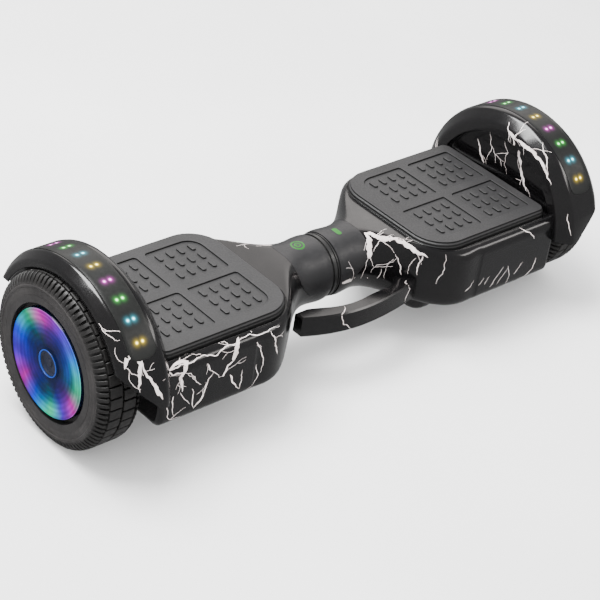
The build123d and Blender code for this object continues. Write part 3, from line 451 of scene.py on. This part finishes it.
def both_sides(piece, name, body, finish, slot, *replaced):
    """Keep a right-hand piece, copy its mirror image to the left, name both, give them a finish, attach
    them to their body and hide the CAD nodes they replace.
    """
    left = piece.copy()
    left.data = piece.data.copy()
    left.data.transform(Matrix.Scale(-1, 4, (1, 0, 0)))
    left.data.flip_normals()
    bpy.context.scene.collection.objects.link(left)
    made = {"right": piece, "left": left}
    for side, one in made.items():
        one.name = f"{side}_{name}"
        one.data.name = one.name
        one.data.materials.clear()
        one.data.materials.append(finish)
        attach(one, f"{side}_{body}")
        if replaced:
            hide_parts(*[f"{side}_{node}" for node in replaced])
    return made


# ---- Fender ---------------------------------------------------------------------------------
def fender():
    """The thick arch over a wheel, with the flat wall beside the foot mat."""
    crown = FENDER_RADIUS / MM - 0.5
    outline = rounded([(245, 81.5, 1.5), (245, crown - 12, 9), (256, crown, 8), (291, crown, 6),
                       (300, crown - 7, 5), (300, 91, 1.2), (297, 91, 1.2), (297, 97, 2),
                       (290, crown - 4, 3), (260, crown - 4, 3), (255.5, crown - 10, 3),
                       (255.5, 30, 0), (251.5, 30, 0), (251.5, 81.5, 3)])
    arch = spun("fender_arch", outline, FENDER_Z, -radians(93), radians(186), 150)
    cut(arch, (0, 0, 82.6 * MM), (0, 0, -1))
    cut(arch, (263 * MM, 0, 82.6 * MM), (0.70, 0, -0.714))
    modify(arch, "BEVEL", width=0.7 * MM, segments=2, limit_method="ANGLE",
           angle_limit=radians(50))
    smooth(arch, 40)
    return both_sides(arch, "fender_arch", "half", GLOSS, "shell", "fender")


def film():
    """The film over the fender lights: a curved strip with rounded ends."""
    corner = 9.0
    half_angle = 58.0
    rows = 120
    columns = 8
    points = []
    for row in range(rows + 1):
        angle = radians(half_angle * (2 * row / rows - 1))
        inward = (radians(half_angle) - abs(angle)) * FENDER_RADIUS / MM
        half = BAND_HALF / MM
        if inward < corner:
            half += (corner ** 2 - (corner - inward) ** 2) ** 0.5 - corner
        for column in range(columns + 1):
            x = BAND_X + half * MM * (2 * column / columns - 1)
            points.append((x, -FENDER_RADIUS * sin(angle), FENDER_Z + FENDER_RADIUS * cos(angle)))
    wide = columns + 1
    faces = [(r * wide + c, r * wide + c + 1, (r + 1) * wide + c + 1, (r + 1) * wide + c)
             for r in range(rows) for c in range(columns)]
    strip = new_piece("fender_film", points, faces=faces)
    outward(strip)
    modify(strip, "SOLIDIFY", thickness=0.9 * MM, offset=-1)
    modify(strip, "BEVEL", width=0.25 * MM, segments=2, limit_method="ANGLE",
           angle_limit=radians(50))
    smooth(strip, 40)
    return both_sides(strip, "fender_film", "half", FILM, "smoked_film", "fender_lens")


# ---- Wheel ----------------------------------------------------------------------------------
def tread_row(name, outline, count, share, turn=0.0):
    """One row of tread blocks: an outline of (offset, radius) swept over part of the pitch."""
    pitch = 2 * pi / count
    block = spun(name, [(TYRE_MID_X / MM + u, r) for u, r in outline], AXLE_Z,
                 turn * pitch, pitch * share, 3)
    modify(block, "BEVEL", width=0.35 * MM, segments=1, limit_method="ANGLE",
           angle_limit=radians(40))
    return turned_copies(block, count, AXLE_Z)


def tyre():
    """A solid tyre: carcass with sidewall beads, tread blocks and fine shoulder teeth."""
    mid = TYRE_MID_X / MM
    outer = TYRE_RADIUS / MM
    side = TYRE_HALF / MM
    floor = outer - 2.4
    right_half = [(13, floor, 4), (side - 1.6, outer - 7.5, 4), (side - 0.9, 72.4, 1),
                  (side - 0.2, 71.6, 0.4), (side - 0.2, 70.4, 0.4), (side - 0.9, 69.6, 0.6),
                  (side - 0.4, 66, 6), (side - 0.9, 60.2, 0.6), (side - 4.0, 60.2, 0)]
    outline = [(mid + u, r, k) for u, r, k in right_half]
    outline += [(mid - u, r, k) for u, r, k in reversed(right_half)]
    carcass = spun("tyre", rounded(outline, 5), AXLE_Z, steps=160)
    rows = [carcass]
    for way in (-1, 1):
        rows.append(tread_row("tread", [(way * 1.0, floor - 0.6), (way * 1.0, outer),
                                        (way * 13.2, outer), (way * 14.0, floor - 0.6)],
                              44, 0.86, 0.25 * way))
        rows.append(tread_row("shoulder", [(way * 14.6, floor - 0.6), (way * 14.9, outer - 0.1),
                                           (way * 17.8, outer - 1.3), (way * 20.9, outer - 5.2),
                                           (way * 22.4, outer - 9.4), (way * 19.6, outer - 9.6)],
                              88, 0.62))
    whole = joined(*rows)
    smooth(whole, 32)
    return both_sides(whole, "tyre_detail", "wheel", finishes["tyre_rubber"], "tyre_rubber",
                      "tyre")


def wheel_lens():
    """The lit cover: a raised rim, a dished face with fine rings and a lip round the hub."""
    face = (lens_high.x - 0.2 * MM) / MM
    rim = LENS_RADIUS / MM
    outline = rounded([(face - 8, rim - 0.2, 0), (face - 2.6, rim - 0.2, 0.8),
                       (face, rim - 1.4, 0.8), (face - 0.2, rim - 3.4, 0.6),
                       (face - 1.2, rim - 4.6, 0.6), (face - 1.4, rim - 11, 1.0),
                       (face - 2.2, rim - 13, 1.0), (face - 3.4, 15.5, 0.6),
                       (face - 2.2, 14.6, 0.5), (face - 2.2, 13.2, 0.3), (face - 8, 13.2, 0)], 4)
    lens = spun("lens", outline, AXLE_Z, steps=128)
    smooth(lens, 40)
    return both_sides(lens, "wheel_light_cover", "wheel", GLOW, "wheel_light", "wheel_lens")


def hub():
    """The dark hub cap, sunk in the lens, with a thin lit ring around it."""
    face = (lens_high.x - 0.2 * MM) / MM
    ring = spun("hub_ring", rounded([(face - 3, 12.2, 0), (face - 1.8, 12.3, 0.3),
                                     (face - 1.8, 13.1, 0.3), (face - 3, 13.2, 0)], 3), AXLE_Z,
                steps=96)
    smooth(ring, 40)
    lit = lit_mark("hub_ring_glow", (0.02, 0.12, 0.75), 0.7)
    both_sides(ring, "hub_ring", "wheel", lit, "wheel_light")
    cap = spun("hub_cap_detail", rounded([(face - 8, 0.01, 0), (face - 8, 12.1, 0),
                                          (face - 2.6, 12.1, 0.6), (face - 2.9, 10.8, 0.4),
                                          (face - 4.4, 9.4, 0.8), (face - 4.4, 4.2, 0.5),
                                          (face - 3.6, 3.6, 0.5), (face - 3.6, 0.01, 0)], 4),
               AXLE_Z, steps=96)
    smooth(cap, 40)
    return both_sides(cap, "hub_cap_detail", "wheel", finishes["hub_plastic"], "hub_plastic",
                      "hub_cap")


# ---- Foot mat -------------------------------------------------------------------------------
def mat_line(inset):
    """The mat's outline in mm, pulled in by an inset."""
    low = mat_low.x / MM + inset
    high = mat_high.x / MM - inset
    wide = mat_high.y / MM - inset
    return rounded([(low, -wide, 35 - inset), (high, -wide, 10 - inset), (high, wide, 10 - inset),
                    (low, wide, 35 - inset)], 10)


def plate(name, outlines, low_z, high_z, bevel):
    """A flat plate with holes, from outlines in mm, its edges rounded."""
    curve = bpy.data.curves.new(name, "CURVE")
    curve.dimensions = "2D"
    curve.fill_mode = "BOTH"
    curve.extrude = (high_z - low_z) / 2 - bevel
    curve.bevel_depth = bevel
    curve.bevel_resolution = 2
    for outline in outlines:
        line = curve.splines.new("POLY")
        line.points.add(len(outline) - 1)
        for point, (x, y) in zip(line.points, outline):
            point.co = (x * MM, y * MM, 0, 1)
        line.use_cyclic_u = True
    piece = bpy.data.objects.new(name, curve)
    bpy.context.scene.collection.objects.link(piece)
    piece.location.z = (low_z + high_z) / 2
    choose(piece)
    bpy.ops.object.convert(target="MESH")
    bpy.ops.object.transform_apply(location=True)
    return bpy.context.active_object


def foot_mat():
    """A rubber mat: stepped side wall, raised border and cross, and rows of raised dashes."""
    top = mat_high.z
    steps = [(0.0, 103.2), (0.0, 108.6), (0.7, 109.4), (0.9, 111.4), (2.2, 112.5), (3.4, 112.7)]
    loops = [mat_line(inset) for inset, z in steps]
    count = len(loops[0])
    points = [(x * MM, y * MM, z * MM) for loop, (inset, z) in zip(loops, steps)
              for x, y in loop]
    faces = [(k * count + i, k * count + (i + 1) % count, (k + 1) * count + (i + 1) % count,
              (k + 1) * count + i) for k in range(len(steps) - 1) for i in range(count)]
    faces.append([(len(steps) - 1) * count + i for i in range(count)])
    faces.append([count - 1 - i for i in range(count)])
    slab = new_piece("mat", points, faces=faces)
    outward(slab)

    low, high = mat_low.x / MM + 19, mat_high.x / MM - 12
    wide, cross = 61.0, 4.5
    mid = (low + high) / 2
    fields = []
    for x_low, x_high, corner in ((low, mid - cross, 16), (mid + cross, high, 4)):
        for way in (-1, 1):
            fields.append(rounded([(x_low, way * wide, corner), (x_high, way * wide, 4),
                                   (x_high, way * cross, 2), (x_low, way * cross, 4)], 6))
    border = plate("mat_border", [mat_line(2.6)] + fields, 111.6 * MM, top, 0.45 * MM)

    dash = plate("dash", [rounded([(-1.9, -4.8, 1.8), (1.9, -4.8, 1.8), (1.9, 4.8, 1.8),
                                   (-1.9, 4.8, 1.8)], 5)], 112.2 * MM, top, 0.5 * MM)
    dashes = []
    for x_mid in ((low + mid - cross) / 2 + 1, (mid + cross + high) / 2):
        for y_mid in (-(wide + cross) / 2, (wide + cross) / 2):
            for column in range(4):
                for row in range(3):
                    one = dash.copy()
                    one.data = dash.data.copy()
                    one.data.transform(Matrix.Translation(((x_mid + (column - 1.5) * 12.6) * MM,
                                                           (y_mid + (row - 1) * 16) * MM, 0)))
                    bpy.context.scene.collection.objects.link(one)
                    dashes.append(one)
    bpy.data.objects.remove(dash)
    whole = joined(slab, border, *dashes)
    smooth(whole, 35)
    return both_sides(whole, "mat_detail", "mat", finishes["mat_rubber"], "mat_rubber",
                      "foot_mat")


# ---- Fine lip around the mat's pocket ---------------------------------------------------------
def pocket_lip():
    """A fine glossy bead on the upper cover, along the edge of the foot mat's pocket."""
    surface = Surface(nodes["right_upper_cover"])
    curve = bpy.data.curves.new("pocket_lip", "CURVE")
    curve.dimensions = "3D"
    curve.bevel_depth = 0.55 * MM
    curve.bevel_resolution = 3
    line = curve.splines.new("POLY")
    corner = [p for p in mat_line(-1.7) if p.x < 0.5 * (mat_low.x + mat_high.x) / MM]
    front = [p for p in corner if p.y < 0]
    rear = [p for p in corner if p.y > 0]
    end_x = mat_high.x / MM
    loop = [Vector((end_x, rear[0].y))] + rear + front + [Vector((end_x, front[-1].y))]
    path = []
    for a, b in zip(loop, loop[1:]):
        steps = max(1, int((b - a).length / 4))
        path += [a.lerp(b, k / steps) for k in range(steps)]
    path = [surface.tree.ray_cast(Vector((p.x, p.y, 300)) * MM, Vector((0, 0, -1)))[0]
            for p in path]
    line.points.add(len(path) - 1)
    for point, place in zip(line.points, path):
        point.co = (*place, 1)
    piece = bpy.data.objects.new("pocket_lip", curve)
    bpy.context.scene.collection.objects.link(piece)
    choose(piece)
    bpy.ops.object.convert(target="MESH")
    piece = bpy.context.active_object
    smooth(piece, 60)
    both_sides(piece, "pocket_lip", "half", GLOSS, "shell")


# ---- Marks on the neck ----------------------------------------------------------------------
def wrapped(piece, radius):
    """Lay a piece modelled flat at height 0 on the neck's round top."""
    for vertex in piece.data.vertices:
        vertex.co.z += AXLE_Z + (radius ** 2 - vertex.co.y ** 2) ** 0.5


def marks():
    """A ring with a small power sign on the left neck, a lit oval on the right."""
    low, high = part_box("power_indicator")
    radius = high.z - AXLE_Z
    x, half = (low.x + high.x) / 2 / MM, (high.x - low.x) / 2 / MM
    circle = lambda r: rounded([(x - r, -r, r - 0.01), (x + r, -r, r - 0.01),
                                (x + r, r, r - 0.01), (x - r, r, r - 0.01)], 10)
    disc = plate("power_disc", [circle(half)], -0.6 * MM, 0.15 * MM, 0.1 * MM)
    ring = plate("power_ring", [circle(half - 1.0), circle(half - 2.5)], -0.1 * MM, 0.3 * MM,
                 0.08 * MM)
    inner = plate("power_sign", [circle(3.3), circle(2.2)], -0.1 * MM, 0.3 * MM, 0.08 * MM)
    bar = plate("power_bar", [rounded([(x - 3.9, -0.55, 0.3), (x - 0.6, -0.55, 0.3),
                                       (x - 0.6, 0.55, 0.3), (x - 3.9, 0.55, 0.3)], 3)],
                -0.1 * MM, 0.36 * MM, 0.08 * MM)
    sign = joined(ring, inner, bar)
    for piece, finish in ((disc, finishes["port_plastic"]), (sign, GREEN)):
        wrapped(piece, radius)
        smooth(piece, 35)
        piece.data.materials.append(finish)
        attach(piece, "left_half")
    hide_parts("power_indicator")

    low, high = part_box("battery_indicator")
    x, half_x, half_y = (low.x + high.x) / 2 / MM, (high.x - low.x) / 2 / MM, high.y / MM
    oval = lambda k: rounded([(x - half_x + k, -half_y + k, 3.2 - k),
                              (x + half_x - k, -half_y + k, 3.2 - k),
                              (x + half_x - k, half_y - k, 3.2 - k),
                              (x - half_x + k, half_y - k, 3.2 - k)], 6)
    rim = plate("battery_rim", [oval(0), oval(0.6)], -0.6 * MM, 0.3 * MM, 0.12 * MM)
    lamp = plate("battery_lamp", [oval(0.5)], -0.6 * MM, 0.15 * MM, 0.1 * MM)
    for piece, finish in ((rim, finishes["port_plastic"]), (lamp, GREEN)):
        wrapped(piece, radius)
        smooth(piece, 35)
        piece.data.materials.append(finish)
        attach(piece, "right_half")
    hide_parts("battery_indicator")


# ---- Printed lightning ----------------------------------------------------------------------
def jagged(corners, surface, rng, jag=0.13, finest=3.0 * MM):
    """A path through corners on a surface, broken up sideways until its steps are fine."""
    path = [surface.on(Vector(c) * MM)[0] for c in corners]
    while max((b - a).length for a, b in zip(path, path[1:])) > finest and len(path) < 200:
        finer = [path[0]]
        for a, b in zip(path, path[1:]):
            if (b - a).length > finest:
                middle, normal = surface.on((a + b) / 2)
                side = normal.cross(b - a)
                finer.append(surface.on(middle + side * rng.uniform(-jag, jag))[0])
            finer.append(b)
        path = finer
    return path


def stray(path, start, surface, rng, length):
    """A side stroke that leaves a path at one of its points."""
    point = path[start]
    normal = surface.on(point)[1]
    ahead = (path[min(start + 1, len(path) - 1)] - path[start - 1]).normalized()
    ahead.rotate(Quaternion(normal, rng.choice((-1, 1)) * radians(rng.uniform(25, 65))))
    stroke = [point]
    step = 2.6 * MM
    for k in range(max(3, int(length / step))):
        ahead.rotate(Quaternion(normal, radians(rng.uniform(-24, 24))))
        place, normal = surface.on(stroke[-1] + ahead * step)
        ahead = (ahead - normal * ahead.dot(normal)).normalized()
        stroke.append(place)
    return stroke


def ribbon(path, widths, surface, rng, points, faces):
    """Add a thin strip along a path, going from one width to another, drawn out at its ends."""
    count = len(path)
    first, last = widths
    for i, point in enumerate(path):
        normal = surface.on(point)[1]
        along = (path[min(i + 1, count - 1)] - path[max(i - 1, 0)]).normalized()
        side = normal.cross(along)
        share = i / (count - 1)
        drawn = min(1.0, 0.25 + share * 5, 0.12 + (1 - share) * 5)
        width = (first + (last - first) * share) * drawn * rng.uniform(0.75, 1.2)
        half = max(0.13 * MM, width * MM / 2)
        for way in (-1, 0, 1):
            place, facing = surface.on(point + side * (way * half))
            points.append(place + facing * PRINT_LIFT)
        if i:
            corner = len(points) - 6
            faces += [(corner, corner + 1, corner + 4, corner + 3),
                      (corner + 1, corner + 2, corner + 5, corner + 4)]


def lightning(name, body, surface, bolts, seed):
    """Every printed bolt on one half: widths in mm at both ends, side strokes, corners in mm."""
    rng = Random(seed)
    points, faces = [], []
    for widths, strays, corners in bolts:
        path = jagged(corners, surface, rng)
        ribbon(path, widths, surface, rng, points, faces)
        for k in range(strays):
            start = rng.randrange(2, max(3, len(path) - 3))
            length = rng.uniform(9, 26) * MM
            stroke = stray(path, start, surface, rng, length)
            ribbon(stroke, (0.55, 0.3), surface, rng, points, faces)
            if rng.random() < 0.35:
                twig = stray(stroke, len(stroke) // 2, surface, rng, length * 0.5)
                ribbon(twig, (0.5, 0.3), surface, rng, points, faces)
    piece = new_piece(name, points, faces=faces)
    for polygon in piece.data.polygons:
        polygon.use_smooth = True
    piece.data.materials.append(BOLT)
    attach(piece, body)


LEFT_BOLTS = [
    ((2.2, 4.6), 1, [(-295, -88, 127), (-292, -86, 135), (-286, -85, 136), (-281, -87, 134)]),
    ((5.0, 1.6), 2, [(-281, -87, 135), (-280, -91, 128), (-284, -96, 118), (-287, -99, 111),
                     (-286, -100, 107)]),
    ((1.2, 4.6), 1, [(-278, -89, 131), (-273, -98, 114), (-268, -102, 102), (-263, -104, 93)]),
    ((0.8, 0.6), 1, [(-294, -88, 128), (-291, -93, 124), (-285, -95, 121)]),
    ((0.7, 0.6), 2, [(-302, -55, 156), (-300, -63, 151), (-297, -68, 149), (-295, -72, 147),
                     (-292, -75, 148)]),
    ((2.0, 4.4), 2, [(-243, -84, 103), (-232, -81, 105), (-226, -81, 105), (-221, -83, 104)]),
    ((4.6, 1.8), 2, [(-221, -82, 104), (-226, -86, 98), (-231, -86, 92), (-227, -86, 75)]),
    ((1.0, 1.4), 1, [(-249, -91, 112), (-240, -86, 98), (-227, -86, 97), (-222, -84, 102)]),
    ((0.7, 0.4), 0, [(-229, -86, 75), (-223, -86, 65), (-217, -86, 58)]),
    ((2.0, 3.2), 1, [(-214, -78, 106), (-206, -81, 105), (-200, -86, 94), (-191, -86, 82),
                     (-186, -86, 75)]),
    ((2.6, 1.4), 1, [(-186, -86, 75), (-181, -86, 75), (-177, -86, 85), (-170, -86, 88)]),
    ((2.6, 6.4), 2, [(-162, -79, 106), (-165, -83, 104), (-169, -86, 98), (-171, -86, 87)]),
    ((1.0, 2.0), 1, [(-193, -86, 84), (-198, -86, 78), (-199, -86, 73), (-203, -86, 60),
                     (-212, -86, 51)]),
    ((0.6, 1.1), 0, [(-216, -86, 74), (-214, -86, 62), (-212, -86, 52)]),
    ((1.0, 0.6), 0, [(-236, -86, 74), (-236, -86, 62), (-234, -86, 52)]),
    ((0.6, 0.5), 1, [(-243, -86, 74), (-242, -86, 62), (-237, -86, 48), (-226, -85, 47)]),
    ((2.0, 1.0), 0, [(-173, -86, 73), (-167, -86, 61), (-160, -86, 52)]),
    ((1.0, 0.6), 0, [(-160, -86, 52), (-158, -86, 61), (-159, -86, 73)]),
    ((1.2, 0.8), 1, [(-147, -77, 106), (-145, -86, 98), (-136, -86, 79), (-134, -86, 69),
                     (-136, -86, 61)]),
    ((0.7, 0.5), 0, [(-142, -85, 72), (-138, -85, 59), (-142, -85, 52), (-150, -85, 46)]),
    ((1.2, 1.6), 1, [(-128, -84, 103), (-122, -86, 87), (-117, -85, 74)]),
    ((0.7, 0.6), 1, [(-226, -86, 96), (-214, -86, 86), (-206, -86, 75), (-199, -86, 75)]),
    ((0.6, 0.6), 1, [(-259, -99, 110), (-248, -88, 96), (-241, -86, 98), (-232, -86, 95)]),
    ((1.1, 0.9), 0, [(-247, -88, 109), (-229, -83, 104), (-211, -83, 104), (-169, -83, 103),
                     (-131, -83, 103), (-116, -82, 103)]),
    ((1.0, 0.6), 0, [(-185, -77, 106), (-177, -78, 106), (-176, -83, 103)]),
]
RIGHT_BOLTS = [
    ((6.0, 2.6), 2, [(47, -14, 113), (47, -22, 109), (43, -27, 103), (41, -31, 95),
                     (43, -32, 71)]),
    ((3.2, 6.5), 3, [(47, -14, 113), (56, -25, 111), (66, -33, 111), (69, -36, 110)]),
    ((6.5, 2.4), 3, [(67, -34, 111), (74, -46, 108), (79, -54, 104), (87, -65, 100)]),
    ((1.8, 2.6), 0, [(90, -58, 108), (89, -62, 104), (87, -65, 100)]),
    ((1.4, 0.7), 0, [(84, -61, 101), (82, -60, 94), (82, -60, 79)]),
    ((0.7, 1.4), 0, [(64, -43, 99), (67, -47, 90), (70, -50, 77)]),
    ((0.5, 0.5), 1, [(44, -34, 79), (49, -35, 87), (58, -40, 88), (65, -45, 95)]),
    ((0.5, 0.4), 0, [(34, -31, 74), (37, -31, 84), (42, -29, 98)]),
    ((4.2, 3.4), 1, [(8, -32, 78), (14, -33, 78), (26, -32, 78)]),
    ((0.5, 0.4), 0, [(79, -57, 98), (75, -54, 89), (75, -54, 79)]),
    ((0.7, 0.5), 1, [(47, -30, 100), (54, -28, 108), (60, -29, 110), (72, -30, 112)]),
    ((0.4, 0.4), 0, [(58, -40, 71), (58, -40, 84), (63, -43, 94)]),
    ((0.6, 0.5), 0, [(52, -36, 71), (54, -38, 82)]),
    ((0.6, 0.4), 0, [(101, -75, 105), (100, -76, 94), (97, -73, 71)]),
    ((1.6, 4.4), 2, [(246, -3, 167), (246, -10, 165), (245, -15, 163)]),
    ((4.4, 1.4), 2, [(245, -15, 163), (245, -33, 162), (247, -47, 157), (247, -59, 149),
                     (247, -70, 138)]),
    ((2.2, 4.0), 2, [(245, -12, 162), (251, -18, 147), (251, -24, 134)]),
    ((4.0, 1.4), 2, [(251, -24, 134), (251, -30, 124), (251, -38, 112)]),
    ((1.2, 0.5), 1, [(245, -14, 165), (250, -16, 171), (253, -19, 175)]),
    ((0.5, 1.4), 0, [(256, -41, 170), (252, -50, 162), (248, -62, 148)]),
    ((0.8, 0.5), 1, [(250, 2, 174), (246, -2, 168), (245, -6, 164)]),
    ((0.9, 2.6), 1, [(251, 39, 135), (251, 33, 124), (251, 24, 113)]),
    ((0.6, 0.4), 2, [(251, 24, 150), (251, 21, 138), (251, 12, 130), (251, 9, 121)]),
    ((0.5, 0.4), 1, [(251, 3, 150), (251, -4, 140), (251, -2, 126), (251, -8, 117)]),
    ((0.8, 0.6), 0, [(253, -94, 115), (253, -98, 104), (255, -103, 93)]),
    ((1.0, 0.6), 0, [(201, -78, 106), (208, -84, 102), (218, -86, 92)]),
    ((0.8, 0.4), 0, [(127, -86, 59), (134, -86, 62), (138, -85, 68)]),
    ((0.6, 0.4), 0, [(146, -86, 60), (152, -86, 67)]),
    ((0.6, 0.4), 0, [(155, -86, 58), (160, -86, 66)]),
    ((0.7, 0.4), 0, [(164, -86, 52), (169, -86, 59), (175, -86, 65), (179, -86, 71)]),
    ((0.6, 0.4), 0, [(174, -86, 52), (180, -86, 59), (186, -86, 67)]),
    ((0.6, 0.4), 0, [(186, -86, 70), (191, -86, 58), (189, -85, 47)]),
    ((0.8, 0.5), 0, [(198, -86, 56), (203, -86, 62), (208, -86, 68)]),
    ((1.0, 0.6), 0, [(228, -86, 66), (226, -86, 54), (214, -85, 46), (206, -85, 46)]),
    ((0.8, 0.7), 0, [(-13, -60, 75), (-23, -68, 74), (-20, -69, 62), (-10, -71, 54)]),
    ((0.8, 0.7), 0, [(70, -58, 75), (66, -60, 74), (70, -65, 68), (64, -67, 57)]),
]
SHARED_REAR = slice(6, 25)    # the left half's wall strokes, used for the right half's rear wall


def print_lightning(arches):
    for side, bolts, seed, extra in (("left", LEFT_BOLTS, 11, ()),
                                     ("right", RIGHT_BOLTS, 5, ("carry_handle",))):
        covers = [nodes[f"{side}_{n}"] for n in ("upper_cover", "lower_cover", "neck_cover")]
        covers += [nodes[name] for name in extra]
        surface = Surface(arches[side], *covers)
        rear = LEFT_BOLTS[SHARED_REAR] if side == "right" else RIGHT_BOLTS[:7]
        bolts = bolts + [(widths, strays, [(-x, -y, z) for x, y, z in corners])
                         for widths, strays, corners in rear]
        lightning(f"{side}_lightning", f"{side}_half", surface, bolts, seed)


# ---- Stage, lights and camera ---------------------------------------------------------------
def area_light(name, place, aim, size, power, colour=(1, 1, 1), glossy_only=False):
    data = bpy.data.lights.new(name, "AREA")
    data.shape = "RECTANGLE"
    data.size, data.size_y = size
    data.energy = power
    data.color = colour
    light = bpy.data.objects.new(name, data)
    light.location = place
    light.rotation_mode = "QUATERNION"
    light.rotation_quaternion = (Vector(aim) - Vector(place)).to_track_quat("-Z", "Y")
    light.visible_camera = False
    light.visible_diffuse = not glossy_only
    bpy.context.scene.collection.objects.link(light)
    return light


def stage():
    """A pale floor, a pale surrounding and soft boxes."""
    bpy.ops.mesh.primitive_plane_add(size=40)
    floor = bpy.context.active_object
    floor.name = "floor"
    s = Shader("pale_floor")
    floor.data.materials.append(s.set(Base_Color=s.ramp(s.noise(3), (0.4, 0.86), (0.6, 0.9)),
                                      Roughness=0.9))
    floor.visible_glossy = False
    world = bpy.data.worlds.new("studio")
    world.use_nodes = True
    tree = world.node_tree
    sky = tree.nodes["Background"]
    rays = tree.nodes.new("ShaderNodeLightPath")
    dim = tree.nodes.new("ShaderNodeMapRange")
    dim.inputs["To Min"].default_value = 2.3
    dim.inputs["To Max"].default_value = 0.42
    tree.links.new(rays.outputs["Is Glossy Ray"], dim.inputs["Value"])
    tree.links.new(dim.outputs[0], sky.inputs["Strength"])
    sky.inputs["Color"].default_value = (1, 1, 1, 1)
    bpy.context.scene.world = world
    area_light("key", (-0.5, 0.5, 1.9), (0, 0, 0.05), (1.2, 1.2), 110)
    area_light("back_card", (1.6, 1.6, 1.5), (0, 0, 0.1), (3.0, 1.5), 26, (1, 0.95, 0.92),
               glossy_only=True)
    area_light("shoulder_card", (1.5, -1.5, 1.6), (0, 0, 0.1), (1.5, 0.5), 16,
               (1, 0.96, 0.93), glossy_only=True)


def camera():
    """Stands in front of the left wheel's end, well above the board and slightly tipped."""
    place = Vector((-1.102, -1.078, 1.071))
    azimuth, elevation, roll = radians(-45.3), radians(33.77), radians(8.5)
    ahead = Vector((-sin(azimuth) * cos(elevation), cos(azimuth) * cos(elevation),
                    -sin(elevation)))
    across = Vector((cos(azimuth), sin(azimuth), 0))
    up = across.cross(ahead)
    right = across * cos(roll) + up * sin(roll)
    top = up * cos(roll) - across * sin(roll)
    data = bpy.data.cameras.new("camera")
    data.lens = 113.8
    shot = bpy.data.objects.new("camera", data)
    turn = Matrix((right, top, -ahead)).transposed()
    shot.matrix_world = Matrix.Translation(place) @ turn.to_4x4()
    bpy.context.scene.collection.objects.link(shot)
    bpy.context.scene.camera = shot


def dress_frame():
    """Give every CAD node the finish of its record slot."""
    for entry in frame["record"]["subparts"]:
        piece = nodes[entry["node"]]
        finish = finishes.get(entry["material_slot"], GLOSS)
        if entry["node"].endswith(("motor_outer_cover", "rotor_rim")):
            finish = DARK_CAST
        piece.data.materials.clear()
        piece.data.materials.append(finish)


bpy.ops.object.select_all(action="DESELECT")
dress_frame()
arches = fender()
film()
tyre()
wheel_lens()
hub()
foot_mat()
pocket_lip()
marks()
print_lightning(arches)
stage()
camera()
